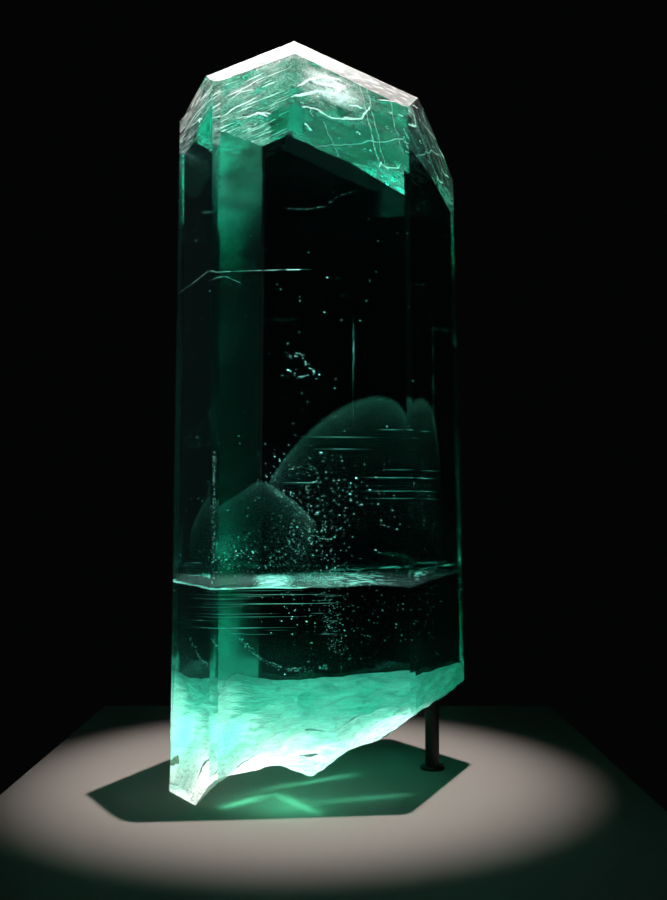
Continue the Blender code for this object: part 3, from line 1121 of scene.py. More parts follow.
        marks = add_node(tree, "ShaderNodeMath", {"operation": "MAXIMUM"},
                         {0: line, 1: ledges}).outputs[0]
        scored = self.scoring(tree, place)
        marks = add_node(tree, "ShaderNodeMath", {"operation": "MAXIMUM"},
                         {0: marks, 1: scored}).outputs[0]
        return add_node(tree, "ShaderNodeMath", {"operation": "MAXIMUM"},
                        {0: grainy, 1: marks}).outputs[0]

    def scoring(self, tree: Tree, place: Socket) -> Socket:
        """Long straight growth lines, a few tenths of a millimetre wide.

        Args:
            tree: the material's nodes.
            place: where on the crystal.

        Returns:
            Frost from 0 to 1.
        """
        wander = add_node(tree, "ShaderNodeTexNoise", {"Scale": per_mm(9.0), "Detail": 1.0},
                          {"Vector": place})
        stray = self.stray_mm * MM
        shift = add_node(tree, "ShaderNodeVectorMath", {
            "operation": "MULTIPLY_ADD", 1: (stray, stray, 0.0),
            2: (-stray / 2.0, -stray / 2.0, 0.0)}, {0: wander.outputs["Color"]})
        spot = add_node(tree, "ShaderNodeVectorMath", {"operation": "ADD"},
                        {0: place, 1: shift.outputs[0]}).outputs[0]
        full, gone = (width * MM for width in self.line_mm)
        total: Socket | None = None
        for x1, y1, x2, y2, share in growth_lines():
            start, end = (FRAME_TO_WORLD @ Vector((x, y, 0.0)) for x, y in ((x1, y1), (x2, y2)))
            along = (end - start).normalized()
            beside = Vector((-along.y, along.x, 0.0))
            off = add_node(tree, "ShaderNodeVectorMath", {"operation": "DOT_PRODUCT", 1: beside},
                           {0: spot}).outputs["Value"]
            off = add_node(tree, "ShaderNodeMath", {"operation": "SUBTRACT", 1: start.dot(beside)},
                           {0: off}).outputs[0]
            off = add_node(tree, "ShaderNodeMath", {"operation": "ABSOLUTE"}, {0: off}).outputs[0]
            near = add_node(tree, "ShaderNodeMapRange", {
                "From Min": gone, "From Max": full, "To Max": share}, {"Value": off}).outputs[0]
            way = add_node(tree, "ShaderNodeVectorMath", {"operation": "DOT_PRODUCT", 1: along},
                           {0: spot}).outputs["Value"]
            middle, half = start.lerp(end, 0.5).dot(along), (end - start).length / 2.0
            within = add_node(tree, "ShaderNodeMath", {
                "operation": "COMPARE", 1: middle, 2: half}, {0: way}).outputs[0]
            drawn = add_node(tree, "ShaderNodeMath", {"operation": "MULTIPLY"},
                             {0: near, 1: within}).outputs[0]
            total = drawn if total is None else add_node(
                tree, "ShaderNodeMath", {"operation": "MAXIMUM"}, {0: total, 1: drawn}).outputs[0]
        return total

    def low_haze(self, tree: Tree, place: Socket) -> Socket:
        """Faint haze of fine healed cracks that thickens towards the torn base.

        Args:
            tree: the material's nodes.
            place: where on the crystal.

        Returns:
            Share of the light that is scattered.
        """
        parts = add_node(tree, "ShaderNodeSeparateXYZ", None, {0: place})
        low, high = (level * MM for level in self.haze_levels)
        rise = add_node(tree, "ShaderNodeMapRange", {
            "interpolation_type": "SMOOTHERSTEP", "From Min": high, "From Max": low,
            "To Max": self.haze_share}, {"Value": parts.outputs[2]}).outputs[0]
        left, right = (reach * MM for reach in self.haze_reach)
        sideways = add_node(tree, "ShaderNodeMapRange", {
            "interpolation_type": "SMOOTHSTEP", "From Min": right, "From Max": left,
            "To Min": 0.25}, {"Value": parts.outputs[0]}).outputs[0]
        return add_node(tree, "ShaderNodeMath", {"operation": "MULTIPLY"},
                        {0: rise, 1: sideways}).outputs[0]

    def chipping(self, tree: Tree, place: Socket) -> Socket:
        """Patchy frost of the rims, in chips a few millimetres long."""
        chips = drawn_out_noise(tree, place, self.chip_mm, 4.0, 0.7)
        return add_node(tree, "ShaderNodeMapRange", {"From Min": 0.45, "From Max": 0.60},
                        {"Value": chips}).outputs[0]

    def wearing(self, tree: Tree, place: Socket, chips: Socket) -> Socket:
        """Wear of the top rims: white all along to the right of the peak, thin chips to its left.

        Args:
            tree: the material's nodes.
            place: where on the crystal.
            chips: frost of the rims' chips.

        Returns:
            Frost from 0 to 1.
        """
        x = add_node(tree, "ShaderNodeSeparateXYZ", None, {0: place}).outputs[0]
        span = {"From Min": self.left_rim_x * MM, "From Max": self.peak_x * MM}
        deep = add_node(tree, "ShaderNodeMapRange", {**span, "To Min": self.left_rim},
                        {"Value": x}).outputs[0]
        least = add_node(tree, "ShaderNodeMapRange", {**span, "To Max": self.right_rim},
                         {"Value": x}).outputs[0]
        worn = add_node(tree, "ShaderNodeMath", {"operation": "MULTIPLY"},
                        {0: chips, 1: deep}).outputs[0]
        return add_node(tree, "ShaderNodeMath", {"operation": "MAXIMUM"},
                        {0: worn, 1: least}).outputs[0]

    @staticmethod
    def share(tree: Tree, mask: Socket, frost: Socket, pair: Pair, so_far: Socket | None) -> Socket:
        """Add one skin's value, plain plus extra where frosted, to the sum of the others.

        Args:
            tree: the material's nodes.
            mask: one on the skin's faces.
            frost: frost of those faces.
            pair: plain value, and what full frost adds.
            so_far: sum of the skins before it, if any.

        Returns:
            The new sum.
        """
        base, extra = pair
        value = add_node(tree, "ShaderNodeMath", {
            "operation": "MULTIPLY_ADD", 1: extra, 2: base}, {0: frost}).outputs[0]
        total = add_node(tree, "ShaderNodeMath", {"operation": "MULTIPLY_ADD", 2: 0.0},
                         {0: mask, 1: value})
        if so_far is not None:
            tree.links.new(so_far, total.inputs[2])
        return total.outputs[0]


@dataclass(frozen=True)
class OxidisedSteel:
    """Turned mild steel rod, chemically blackened: dark, satin, with faint lathe rings.

    Real lathe rings are a tenth of a millimetre apart; these are as coarse as they need to show.
    """

    colour: str = "#3A3F3E"
    roughness: float = 0.42
    ring_mm: float = 2.2

    def build(self) -> bpy.types.Material:
        """Make the material.

        Returns:
            The material.
        """
        material, tree = new_material("blackened_turned_steel")
        out = add_node(tree, "ShaderNodeOutputMaterial")
        place = add_node(tree, "ShaderNodeTexCoord").outputs["Object"]
        rings = add_node(tree, "ShaderNodeTexWave", {
            "bands_direction": "Z", "Distortion": 0.4,
            "Scale": per_mm(self.ring_mm) * math.tau / WAVE_TURN}, {"Vector": place})
        bump = add_node(tree, "ShaderNodeBump", {"Strength": 0.12, "Distance": 0.1 * MM},
                        {"Height": rings.outputs[0]})
        shader = add_node(tree, "ShaderNodeBsdfPrincipled", {
            "Base Color": linear(self.colour), "Metallic": 1.0, "Roughness": self.roughness},
            {"Normal": bump.outputs[0]})
        tree.links.new(shader.outputs[0], out.inputs["Surface"])
        return material


@dataclass(frozen=True)
class PaintedBoard:
    """Board painted matt warm grey: it shows the pool of light evenly and has no shine."""

    colour: str = "#8F8A86"

    def build(self) -> bpy.types.Material:
        """Make the material.

        Returns:
            The material.
        """
        material, tree = new_material("painted_matt_board")
        out = add_node(tree, "ShaderNodeOutputMaterial")
        shader = add_node(tree, "ShaderNodeBsdfPrincipled", {
            "Base Color": linear(self.colour), "Roughness": 0.9, "Specular IOR Level": 0.0})
        tree.links.new(shader.outputs[0], out.inputs["Surface"])
        return material


@dataclass(frozen=True)
class HealedVeil:
    """Healed fracture in beryl: a film of fluid drops, too fine to see one by one.

    It scatters a share of the light white and lets the rest straight through, so it shows as
    a pale veil against the dark crystal.
    """

    name: str = "healed_fracture_film"
    colour: str = "#F2FFFB"
    patch_mm: float = 3.0
    patchiness: Pair = (0.25, 1.15)

    def build(self) -> bpy.types.Material:
        """Make the material.

        Returns:
            The material.
        """
        material, tree = new_material(self.name)
        out = add_node(tree, "ShaderNodeOutputMaterial")
        place = add_node(tree, "ShaderNodeTexCoord").outputs["Object"]
        strength = add_node(tree, "ShaderNodeAttribute", {"attribute_name": "strength"})
        noise = add_node(tree, "ShaderNodeTexNoise", {
            "Scale": per_mm(self.patch_mm), "Detail": 5.0, "Roughness": 0.62}, {"Vector": place})
        patches = add_node(tree, "ShaderNodeMapRange", {
            "From Min": 0.35, "From Max": 0.65, "To Min": self.patchiness[0],
            "To Max": self.patchiness[1]}, {"Value": noise.outputs[0]})
        seen = add_node(tree, "ShaderNodeMath", {"operation": "MULTIPLY", "use_clamp": True},
                        {0: strength.outputs["Fac"], 1: patches.outputs[0]})
        clear = add_node(tree, "ShaderNodeMath", {"operation": "SUBTRACT", 0: 1.0},
                         {1: seen.outputs[0]})
        shader = add_node(tree, "ShaderNodeBsdfPrincipled", {
            "Base Color": linear(self.colour), "IOR": 1.0, "Roughness": 0.0},
            {"Transmission Weight": clear.outputs[0]})
        tree.links.new(shader.outputs[0], out.inputs["Surface"])
        return material


@dataclass(frozen=True)
class FluidDrops:
    """Larger fluid drops and growth tubes in beryl: bright pale specks and hairs."""

    colour: str = "#FFFFFF"
    faint: str = "#BFE5DA"

    def build(self) -> bpy.types.Material:
        """Make the material.

        Returns:
            The material.
        """
        material, tree = new_material("fluid_inclusions")
        out = add_node(tree, "ShaderNodeOutputMaterial")
        place = add_node(tree, "ShaderNodeTexCoord").outputs["Object"]
        noise = add_node(tree, "ShaderNodeTexNoise", {"Scale": per_mm(1.0), "Detail": 1.0},
                         {"Vector": place})
        tone = add_node(tree, "ShaderNodeMix", {
            "data_type": "RGBA", 6: linear(self.faint), 7: linear(self.colour)},
            {0: noise.outputs[0]})
        shader = add_node(tree, "ShaderNodeBsdfPrincipled", {"Roughness": 0.35},
                          {"Base Color": tone.outputs[2]})
        tree.links.new(shader.outputs[0], out.inputs["Surface"])
        return material


# ---------------------------------------------------------------- what is inside the crystal


@dataclass
class InnerPieces:
    """Films, fractures, specks and hairs sealed in the crystal.

    A film ends short of the prism faces by the inset, and drops lie within the filled heights
    and at least the wall's depth inside the faces.
    """

    prism: PrismForm = field(default_factory=PrismForm)
    film_thickness: float = 0.05
    film_inset: float = 0.5
    filled: Pair = (45.0, 266.0)
    wall: float = 0.8
    fracture_height: float = 86.0
    fracture_step: float = 0.9

    def add(self, name: str, mesh: bpy.types.Mesh, material: bpy.types.Material) -> None:
        """Put a finished mesh in the crystal.

        Args:
            name: the piece's name.
            mesh: its mesh, in the crystal's own frame.
            material: its finish.
        """
        mesh.transform(FRAME_TO_WORLD)
        mesh.materials.append(material)
        mesh.shade_smooth()
        piece = put_in_scene(name, mesh)
        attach(piece, BODY)
        LOG.info("%s: %d faces", name, len(mesh.polygons))

    def film(self, name: str, points: np.ndarray, strength: np.ndarray, across: Triple,
             trim: bool = False) -> bpy.types.Mesh:
        """Make a closed thin film over a grid of points.

        Args:
            name: the mesh's name.
            points: grid of places, rows by columns by three.
            strength: how much the film shows at each point.
            across: direction of its thickness.
            trim: cut it back inside the prism faces.

        Returns:
            The mesh, with a strength at each vertex.
        """
        half = np.array(across) * self.film_thickness / 2.0
        verts = np.concatenate((points.reshape(-1, 3) - half, points.reshape(-1, 3) + half))
        mesh = bpy.data.meshes.new(name)
        mesh.from_pydata(verts.tolist(), [], slab_faces(*points.shape[:2]).tolist())
        layer = mesh.attributes.new("strength", "FLOAT", "POINT")
        layer.data.foreach_set("value", np.tile(strength.ravel(), 2))
        bm = bmesh.new()
        bm.from_mesh(mesh)
        if trim:
            for point, normal, _skin in self.prism.cuts():
                unit = normal.normalized()
                bmesh.ops.bisect_plane(
                    bm, geom=bm.verts[:] + bm.edges[:] + bm.faces[:], dist=0.0005,
                    plane_co=point - unit * self.film_inset, plane_no=unit, clear_outer=True)
                rim = [edge for edge in bm.edges if edge.is_boundary]
                bmesh.ops.holes_fill(bm, edges=rim, sides=0)
        bmesh.ops.recalc_face_normals(bm, faces=bm.faces[:])
        bm.to_mesh(mesh)
        bm.free()
        return mesh

    def main_fracture(self) -> bpy.types.Mesh:
        """Healed fracture right across the crystal, a third of the way up.

        Returns:
            The film's mesh, in the crystal's own frame.
        """
        level, step = self.fracture_height, self.fracture_step
        gx, gy = np.meshgrid(np.arange(-72.0, 70.0, step), np.arange(-1.0, 101.0, step),
                             indexing="ij")
        z = level + 0.030 * gy + 0.0003 * np.clip(gx, 0.0, None) * gy
        z = z + 0.55 * value_noise(gx, gy, 16.0, 61) + 0.22 * value_noise(gx, gy, 4.0, 62)
        near = 1.0 - smooth_step(self.prism.depth(gx, gy, level), 1.4, 3.6)
        lip = near * smooth_step(-gx, 8.0, 16.0) * (gy < 40.0)
        z = z - (0.60 + 0.25 * value_noise(gx, gy, 5.0, 66)) * lip
        speckle = value_noise(gx, gy, 2.6, 64) + 0.6 * value_noise(gx, gy, 1.4, 65)
        flecks = smooth_step(speckle, 0.1, 0.7)
        patch = np.exp(-((gx + 23.0) / 6.5) ** 4) * (1.0 - smooth_step(gy, 45.0, 70.0))
        pale = 0.13 * np.exp(-((gx + 5.0) / 11.0) ** 2) * (1.0 - smooth_step(gy, 60.0, 90.0))
        torn = 1.1 * flecks * spot(gx, gy, (11.0, 48.0), (9.0, 34.0))
        back = 1.2 * flecks * smooth_step(gy, 86.0, 92.0) * np.exp(-((gx - 33.0) / 9.0) ** 4)
        middle = (patch * (0.5 + 0.8 * flecks) + pale + torn) * (1.0 - smooth_step(gx, 22.0, 32.0))
        strength = np.clip(0.006 + middle + back + 2.0 * lip, 0.0, 1.0)
        points = np.stack((gx, gy, z), axis=2)
        return self.film("main_fracture", points, strength, (0.0, 0.0, 1.0), trim=True)

    def upper_fracture(self) -> bpy.types.Mesh:
        """Short thin crack from the left side face to the middle of the front face.

        Returns:
            The film's mesh, in the crystal's own frame.
        """
        run = ((-64.0, 30.0, 208.4), (-56.0, 17.0, 210.6), (-50.2, 7.0, 212.6), (-47.2, 3.4, 211.2),
               (-38.0, 3.4, 211.9), (-29.0, 3.4, 212.4), (-19.0, 3.4, 212.8), (-10.0, 3.4, 213.1))
        known = np.linspace(0.0, 1.0, len(run))
        u = np.linspace(0.0, 1.0, 160)
        path = np.stack([np.interp(u, known, [p[k] for p in run]) for k in range(3)], axis=1)
        v = np.linspace(0.0, 1.0, 10)
        inward = np.array((2.0, 6.0, 0.9))
        points = path[:, None, :] + v[None, :, None] * inward
        points[:, :, 2] += 0.25 * value_noise(points[:, :, 0], points[:, :, 1], 3.0, 71)
        bright = 0.35 + 0.65 * smooth_step(path[:, 0], -34.0, -26.0)
        ends = smooth_step(u, 0.0, 0.03) * smooth_step(1.0 - u, 0.0, 0.03)
        strength = (bright * ends)[:, None] * (1.0 - 0.75 * v[None, :])
        return self.film("upper_fracture", points, strength, (0.0, 0.0, 1.0))

    def phantom(self, name: str, crest: Outline, depth: float, bulge: float, fall: float,
                strength: float, inner: float) -> bpy.types.Mesh:
        """Ghost of an earlier growth surface, brightest along its crest.

        Args:
            name: the mesh's name.
            crest: the crest's places along x and up z.
            depth: how far into the crystal it stands.
            bulge: how far its middle leans out of that plane.
            fall: how far it reaches below its crest.
            strength: how much it shows at the crest.
            inner: the share that still shows at its foot.

        Returns:
            The mesh.
        """
        xs = np.linspace(crest[0][0], crest[-1][0], 90)
        heights = follow(xs, crest)
        smooth = np.convolve(np.pad(heights, 4, mode="edge"), np.ones(9) / 9.0, mode="valid")
        u, v = np.linspace(0.0, 1.0, len(xs)), np.linspace(0.0, 1.0, 40)
        gx = np.repeat(xs[:, None], len(v), axis=1)
        z = smooth[:, None] - fall * v[None, :] ** 1.2
        y = depth + bulge * np.sin(math.pi * u)[:, None] * (1.0 - v[None, :]) + 5.0 * v[None, :]
        fade = inner + (1.0 - inner) * np.exp(-v[None, :] * fall / 7.0)
        edge = smooth_step(v, 0.0, 0.06)[None, :] * (1.0 - smooth_step(v, 0.75, 1.0))[None, :]
        ends = (smooth_step(u, 0.0, 0.12) * smooth_step(1.0 - u, 0.0, 0.08))[:, None]
        points = np.stack((gx, y + 0.0 * gx, z), axis=2)
        return self.film(name, points, strength * fade * edge * ends, (0.0, 1.0, 0.0))

    def scatter(self, name: str, grains: Iterable[tuple[Vector, Vector, float]]) -> bpy.types.Mesh:
        """Join many small pointed grains.

        Args:
            name: the mesh's name.
            grains: each grain's place, its three half sizes and its turn about z.

        Returns:
            One mesh of double pyramids.
        """
        corners = ((1, 0, 0), (0, 1, 0), (-1, 0, 0), (0, -1, 0), (0, 0, 1), (0, 0, -1))
        sides = ((0, 1, 4), (1, 2, 4), (2, 3, 4), (3, 0, 4), (1, 0, 5), (2, 1, 5), (3, 2, 5),
                 (0, 3, 5))
        verts: list[Triple] = []
        faces: list[tuple[int, ...]] = []
        for place, half, turn in grains:
            first = len(verts)
            cosine, sine = math.cos(turn), math.sin(turn)
            for cx, cy, cz in corners:
                x, y = cx * half.x, cy * half.y
                verts.append((place.x + x * cosine - y * sine, place.y + x * sine + y * cosine,
                              place.z + cz * half.z))
            faces.extend(tuple(first + k for k in side) for side in sides)
        mesh = bpy.data.meshes.new(name)
        mesh.from_pydata(verts, [], faces)
        return mesh

    def inside(self, place: Vector) -> bool:
        """Whether a place is well inside the prism, above the break and below the roof.

        Args:
            place: the place, in the crystal's own frame.

        Returns:
            True where a drop can lie.
        """
        low, high = self.filled
        at = np.array(place.x), np.array(place.y)
        return low < place.z < high and float(self.prism.depth(*at, place.z)) > self.wall

    def specks(self) -> list[tuple[Vector, Vector, float]]:
        """Clouds of fluid drops: centre, spread, number and size of each cloud.

        Returns:
            Each drop's place, half sizes and turn.
        """
        clouds = (
            ((-10.0, 40.0, 100.0), (11.0, 10.0, 9.0), 300, 0.19),
            ((-8.0, 42.0, 126.0), (12.0, 8.0, 11.0), 110, 0.19),
            ((12.0, 48.0, 66.0), (17.0, 14.0, 11.0), 130, 0.20),
            ((-6.0, 38.0, 78.0), (14.0, 8.0, 5.0), 90, 0.19),
            ((14.0, 50.0, 124.0), (9.0, 9.0, 8.0), 40, 0.22),
            ((-65.5, 33.0, 112.0), (1.2, 3.0, 24.0), 120, 0.26),
            ((-38.0, 15.0, 96.0), (6.0, 4.0, 3.5), 60, 0.15),
            ((0.0, 45.0, 150.0), (34.0, 26.0, 80.0), 200, 0.17),
        )
        rng = random.Random(83)
        grains = []
        for centre, spread, count, size in clouds:
            for _ in range(count):
                place = Vector([rng.gauss(c, s) for c, s in zip(centre, spread)])
                half = size * (0.6 + 0.9 * rng.random() ** 4)
                long = half * rng.choice((1.0, 1.0, 1.0, 2.0))
                if self.inside(place):
                    grains.append((place, Vector((long, half, half)), rng.uniform(0.0, 3.14)))
        for run, depth, stray, per_run, size in self.trails():
            for (ax, az), (bx, bz) in zip(run, run[1:]):
                for _ in range(int(per_run * math.hypot(bx - ax, bz - az))):
                    share = rng.random()
                    place = Vector((ax + share * (bx - ax), depth, az + share * (bz - az)))
                    place += Vector([rng.gauss(0.0, stray) for _ in range(3)])
                    half = size * rng.uniform(0.5, 1.2)
                    if self.inside(place):
                        grains.append((place, Vector((half, half, half)), 0.0))
        return grains

    @staticmethod
    def trails() -> tuple[tuple[Outline, float, float, float, float], ...]:
        """Trails of drops: places along x and z, depth, stray, drops per mm and their size."""
        return (
            (((-16.1, 253.7), (-8.7, 253.0), (0.4, 255.1), (6.9, 259.9), (15.2, 263.0)),
             85.0, 0.12, 2.0, 0.08),
            (((-18.7, 183.0), (-15.7, 180.5), (-12.4, 183.1), (-10.2, 177.6), (-6.0, 174.7)),
             40.0, 0.45, 3.0, 0.11),
            (((-6.0, 174.7), (-12.3, 172.0), (-16.6, 174.5)), 40.0, 0.5, 2.4, 0.11),
            (((-37.0, 60.7), (-27.7, 52.0), (-15.7, 47.8), (1.5, 48.4)), 60.0, 0.5, 3.0, 0.13),
            (((-48.9, 208.7), (-43.7, 210.4), (-37.7, 207.7)), 8.0, 0.06, 4.0, 0.10),
            (((-1.8, 78.6), (1.0, 68.0), (4.5, 57.9)), 40.0, 2.0, 5.0, 0.10),
            (((-28.0, 127.5), (-18.0, 121.0), (-8.0, 112.0)), 26.0, 0.8, 4.0, 0.12),
            (((-47.0, 86.0), (-47.2, 112.0), (-47.2, 140.0)), 4.5, 0.35, 2.2, 0.16),
        )

    def hairs(self) -> list[tuple[Vector, Vector, float]]:
        """Level growth films seen edge on, as long thin blades, and small curved strokes.

        Returns:
            Each blade's place, half sizes and turn.
        """
        known = (
            (-61.0, 4.0, 12.0, 82.6, 0.16), (-55.0, 1.0, 10.0, 79.1, 0.22),
            (-58.0, -30.0, 12.0, 81.0, 0.14),
            (-61.0, -38.0, 12.0, 77.6, 0.14), (-62.0, -13.0, 14.0, 69.4, 0.16),
            (-61.0, -42.0, 12.0, 72.4, 0.12), (-60.0, -20.0, 10.0, 75.2, 0.10),
            (-56.0, -8.0, 16.0, 73.6, 0.09), (-48.0, -10.0, 12.0, 84.2, 0.12),
            (21.0, 33.0, 45.0, 150.5, 0.14), (-14.0, 23.0, 45.0, 147.2, 0.12),
            (-7.0, 19.0, 45.0, 142.1, 0.10), (23.0, 44.0, 45.0, 133.3, 0.10),
            (14.0, 42.0, 45.0, 129.9, 0.12), (15.0, 41.0, 45.0, 124.2, 0.10),
            (18.0, 42.0, 50.0, 121.0, 0.07), (-20.0, -2.0, 40.0, 127.6, 0.08),
            (-58.0, -50.0, 14.0, 90.0, 0.12), (-60.0, -48.0, 16.0, 95.0, 0.10),
        )
        blades = []
        for low, high, y, z, size in known:
            middle = Vector(((low + high) / 2.0, y, z))
            blades.append((middle, Vector(((high - low) / 2.0, 1.2, size * 0.6)), 0.0))
        blades.append((Vector((14.5, 97.2, 182.0)), Vector((0.04, 0.1, 30.0)), 0.0))
        rng = random.Random(29)
        for _ in range(60):
            place = Vector((rng.gauss(-9.0, 9.0), rng.gauss(40.0, 6.0), rng.uniform(106.0, 138.0)))
            half = Vector((rng.uniform(0.25, 0.8), 0.08, 0.06))
            if self.inside(place):
                blades.append((place, half, rng.gauss(0.0, 0.3)))
        for _ in range(26):
            place = Vector((rng.uniform(-58.0, 0.0), rng.uniform(6.0, 20.0), rng.uniform(66.0, 85.0)))
            half = Vector((rng.uniform(2.0, 9.0), 0.3, rng.uniform(0.015, 0.035)))
            if self.inside(place - Vector((half.x, 0.0, 0.0))):
                blades.append((place, half, 0.0))
        return blades

    def build(self) -> None:
        """Make every inner piece."""
        veil = HealedVeil().build()
        self.add("main_fracture", self.main_fracture(), veil)
        self.add("upper_fracture", self.upper_fracture(), veil)
        soft = HealedVeil("growth_phantom", patch_mm=14.0, patchiness=(0.75, 1.1)).build()
        right_crest = ((-30.0, 118.0), (-25.5, 129.0), (-18.2, 139.8), (-9.6, 149.3), (1.2, 158.1),
                       (10.8, 163.4), (20.9, 166.2), (28.4, 164.9), (34.0, 160.6), (38.5, 147.0),
                       (41.0, 128.0))
        self.add("right_phantom", self.phantom("right_phantom", right_crest, 55.0, -6.0, 70.0,
                                               0.060, 0.05), soft)
        left_crest = ((-58.0, 104.0), (-52.9, 111.0), (-46.6, 117.6), (-37.3, 123.6), (-31.2, 128.1),
                      (-28.3, 128.5), (-21.0, 124.4), (-12.7, 118.3), (-5.3, 110.1))
        self.add("left_phantom", self.phantom("left_phantom", left_crest, 22.0, 4.0, 34.0,
                                              0.060, 0.05), soft)
        drops = FluidDrops().build()
        self.add("fluid_specks", self.scatter("fluid_specks", self.specks()), drops)
        self.add("growth_films", self.scatter("growth_films", self.hairs()), drops)


# ---------------------------------------------------------------- stage, light and camera


@dataclass(frozen=True)
class Stage:
    """Plain pale slab that the crystal stands on: its size, middle and turn in degrees."""

    size: Triple = (0.268, 0.330, 0.25)
    centre: Pair = (0.0, -0.010)
    turn: float = -5.09

    def build(self) -> None:
        """Make the slab."""
        bm = bmesh.new()
        bmesh.ops.create_cube(bm, size=1.0)
        bmesh.ops.scale(bm, vec=Vector(self.size), verts=bm.verts[:])
        bmesh.ops.translate(bm, vec=Vector((0.0, 0.0, -self.size[2] / 2.0)), verts=bm.verts[:])
        bmesh.ops.bevel(bm, geom=bm.edges[:], offset=0.0015, segments=2, affect="EDGES")
        bmesh.ops.rotate(bm, cent=Vector(), matrix=Matrix.Rotation(math.radians(self.turn), 3, "Z"),
                         verts=bm.verts[:])
        bmesh.ops.translate(bm, vec=Vector((*self.centre, 0.0)), verts=bm.verts[:])
        mesh = bpy.data.meshes.new("stage_slab")
        bm.to_mesh(mesh)
        bm.free()
        mesh.materials.append(PaintedBoard().build())
        put_in_scene("stage_slab", mesh)


class LampKind(Enum):
    """How a lamp throws its light."""

    POOL = "SPOT"
    PANEL = "AREA"
    BULB = "POINT"


@dataclass(frozen=True)
class Lamp:
    """One lamp: what it is, where it hangs, what it points at, how wide and strong it is.

    A panel is round unless it has a long side, which lies along a direction. The three flags
    say whether matt, glossy and clear surfaces get its light. A lamp with names in only lights
    those pieces alone.
    """

    name: str
    kind: LampKind
    place: Triple
    aim: Triple
    size: float
    watts: float
    colour: str = "#FFFFFF"
    cone: float = 30.0
    blend: float = 1.0
    on_matt: bool = True
    in_gloss: bool = True
    in_clear: bool = True
    along: Triple | None = None
    length: float = 0.0
    only: tuple[str, ...] = ()

    def build(self) -> None:
        """Hang the lamp and point it."""
        data = bpy.data.lights.new(self.name, self.kind.value)
        data.energy = self.watts
        data.color = linear(self.colour)[:3]
        if self.kind is LampKind.PANEL:
            data.shape = "ELLIPSE" if self.along else "DISK"
            data.size = self.length if self.along else self.size
            data.size_y = self.size
        else:
            data.shadow_soft_size = self.size / 2.0
        if self.kind is LampKind.POOL:
            data.spot_size = math.radians(self.cone)
            data.spot_blend = self.blend
        lamp = put_in_scene(self.name, data)
        lamp.location = self.place
        way = (Vector(self.aim) - Vector(self.place)).normalized()
        if self.along:
            side = Vector(self.along).normalized()
            across = (-way).cross(side).normalized()
            turned = Matrix((across.cross(-way), across, -way)).transposed()
            lamp.rotation_euler = turned.to_euler()
        else:
            lamp.rotation_euler = way.to_track_quat("-Z", "Y").to_euler()
        lamp.visible_diffuse = self.on_matt
        lamp.visible_glossy = self.in_gloss
        lamp.visible_transmission = self.in_clear
        lamp.visible_camera = False
        if self.only:
            lit = bpy.data.collections.new(self.name + "_lights")
            for name in self.only:
                lit.objects.link(bpy.data.objects[name])
            lamp.light_linking.receiver_collection = lit


@dataclass(frozen=True)
class Viewpoint:
    """Camera before the crystal at a third of its height, turned and tilted by a few degrees."""

    place: Triple = (-0.03356, -0.42975, 0.1160)
    turn: float = -5.086
    tilt: float = 3.599
    focal_px: float = 966.4
    frame_px: tuple[int, int] = (667, 900)

    def build(self) -> None:
        """Make the camera and use it."""
        data = bpy.data.cameras.new("camera")
        data.sensor_fit = "HORIZONTAL"
        data.sensor_width = 36.0
        data.lens = data.sensor_width * self.focal_px / self.frame_px[0]
        data.clip_start = 0.01
        camera = put_in_scene("camera", data)
        camera.location = self.place
        camera.rotation_euler = (math.radians(90.0 + self.tilt), 0.0, math.radians(self.turn))
        bpy.context.scene.camera = camera


def trapped_lamp(name: str, kind: LampKind, place: Triple, size: float, watts: float, colour: str,
                 only: tuple[str, ...] = (), aim: Triple | None = None,
                 along: Triple | None = None, length: float = 0.0) -> Lamp:
    """Lamp that stands for light that the crystal traps or bends, not seen in or through it.

    Args:
        name: the lamp's name.
        kind: how it throws its light.
        place: where it hangs.
        size: how wide it is.
        watts: how strong it is.
        colour: its colour in sRGB hex.
        only: the pieces that it lights, or none for all.
        aim: what it points at, straight down where none is given.
        along: direction of its long side.
        length: length of that side.

    Returns:
        The lamp, not yet hung.
    """
    return Lamp(name, kind, place, aim or (place[0], place[1], 0.0), size, watts, colour,
                in_gloss=False, in_clear=False, along=along, length=length, only=only)


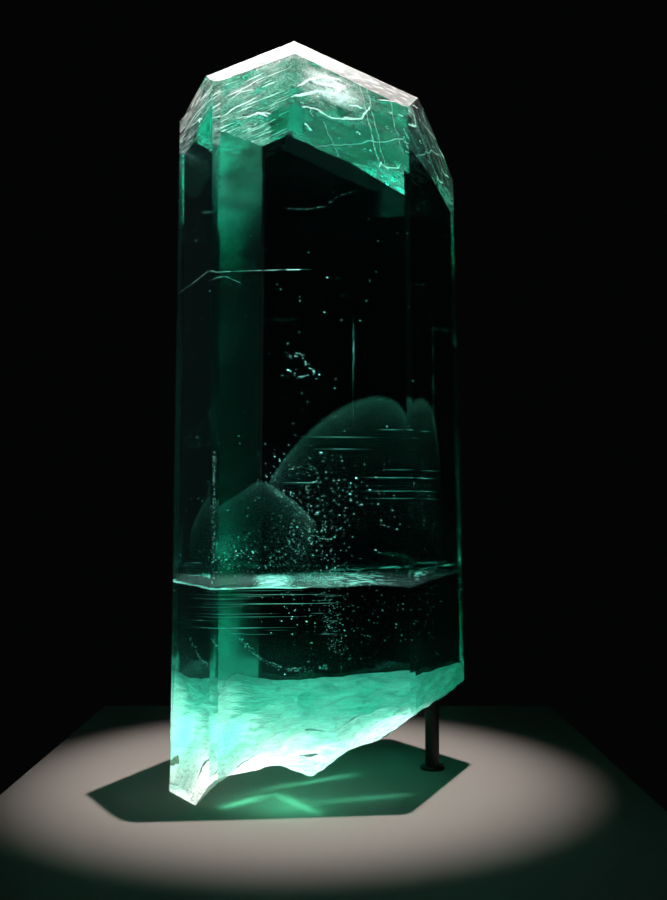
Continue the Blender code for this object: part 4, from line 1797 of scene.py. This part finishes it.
def light_the_scene() -> None:
    """Dark surroundings, a key lamp overhead, fills behind, and the light in the crystal."""
    beryl, slab = ("aquamarine",), ("stage_slab",)
    panel, bulb = LampKind.PANEL, LampKind.BULB
    lamps = [
        Lamp("key", LampKind.POOL, (0.038, -0.014, 1.10), (-0.010, 0.005, 0.0), 0.008, 58.0,
             "#FFF4F0", cone=14.4, blend=0.75),
        Lamp("softbox", panel, (-0.05, 0.36, 1.15), (0.0, 0.0, 0.20), 0.62, 8.0, on_matt=False),
        trapped_lamp("under_panel", panel, (-0.008, -0.028, 0.004), 0.062, 0.007, "#6CF5C0",
                     aim=(-0.008, -0.028, 0.1)),
        trapped_lamp("floor_glow", bulb, (-0.018, -0.044, 0.014), 0.020, 0.016, "#5CF0B4", slab),
        trapped_lamp("base_strip", panel, (-0.014, -0.038, 0.050), 0.016, 0.060, "#E8FFF4", beryl,
                     aim=(-0.014, -0.044, 0.0), along=(1.0, 0.0, 0.30), length=0.100),
        trapped_lamp("foot_strip", panel, (-0.042, -0.032, 0.040), 0.016, 0.130, "#FFC0C4", beryl,
                     along=(1.0, 0.0, 0.0), length=0.050),
        trapped_lamp("trapped_foot", bulb, (-0.050, -0.022, 0.028), 0.016, 0.42, "#FFC0C4", beryl),
        trapped_lamp("trapped_back", panel, (0.010, 0.020, 0.078), 0.080, 0.016, "#A8FFF0", beryl,
                     aim=(0.010, 0.015, 0.0)),
        trapped_lamp("fracture_lamp", bulb, (-0.020, -0.022, 0.112), 0.020, 4.20, "#E8FFF8",
                     ("main_fracture",)),
        trapped_lamp("line_lamp", bulb, (-0.018, -0.030, 0.232), 0.010, 0.30, "#E8FFFA",
                     ("upper_fracture",)),
        trapped_lamp("phantom_lamp", bulb, (0.006, -0.044, 0.170), 0.010, 0.16, "#9FF5D8",
                     ("left_phantom", "right_phantom", "growth_films")),
        trapped_lamp("speck_lamp", bulb, (-0.004, -0.043, 0.135), 0.010, 1.4, "#DCFFF4",
                     ("fluid_specks",)),
        trapped_lamp("low_speck_lamp", bulb, (-0.020, -0.020, 0.054), 0.010, 0.16, "#B8FFEC",
                     ("fluid_specks", "growth_films")),
        trapped_lamp("trapped_high", panel, (-0.005, 0.0, 0.262), 0.070, 0.2, "#D8FFF6"),
        Lamp("right_back_panel", panel, (0.80, 0.50, 0.20), (0.0, 0.0, 0.16), 1.50, 0.035,
             on_matt=False, in_gloss=False),
    ]
    # Bright veins that the bent light draws on the slab: middle, direction, length, strength.
    glints = (
        ((-0.034, -0.034), (0.75, 0.66), 0.024, 0.0011),
        ((-0.014, -0.038), (0.50, -0.87), 0.036, 0.0012),
        ((-0.006, -0.008), (0.90, 0.45), 0.050, 0.0010),
        ((0.014, -0.034), (0.98, 0.20), 0.044, 0.0006),
    )
    for number, (middle, way, length, watts) in enumerate(glints):
        lamps.append(trapped_lamp(f"glint_{number}", panel, (*middle, 0.003), 0.001, watts,
                                  "#5CF0B4", slab, along=(*way, 0.0), length=length))
    for lamp in lamps:
        lamp.build()
    world = bpy.data.worlds.new("dark_room")
    world.use_nodes = True
    world.node_tree.nodes["Background"].inputs[0].default_value = (0.0012, 0.0013, 0.0013, 1.0)
    bpy.context.scene.world = world
    cycles = bpy.context.scene.cycles
    cycles.max_bounces = 24
    cycles.glossy_bounces = 20
    cycles.transmission_bounces = 24
    cycles.diffuse_bounces = 6
    bpy.context.scene.view_settings.view_transform = "Standard"


def dress_peg() -> None:
    """Give the support peg its blackened steel."""
    peg = bpy.data.objects["support_peg"]
    peg.data.materials.clear()
    peg.data.materials.append(OxidisedSteel().build())


def main() -> None:
    """Build every piece in order."""
    logging.basicConfig(level=logging.INFO, format="%(name)s %(message)s")
    Viewpoint().build()
    Stage().build()
    Crystal().build(ClearBeryl().build())
    InnerPieces().build()
    dress_peg()
    light_the_scene()


if __name__ == "__main__":
    main()
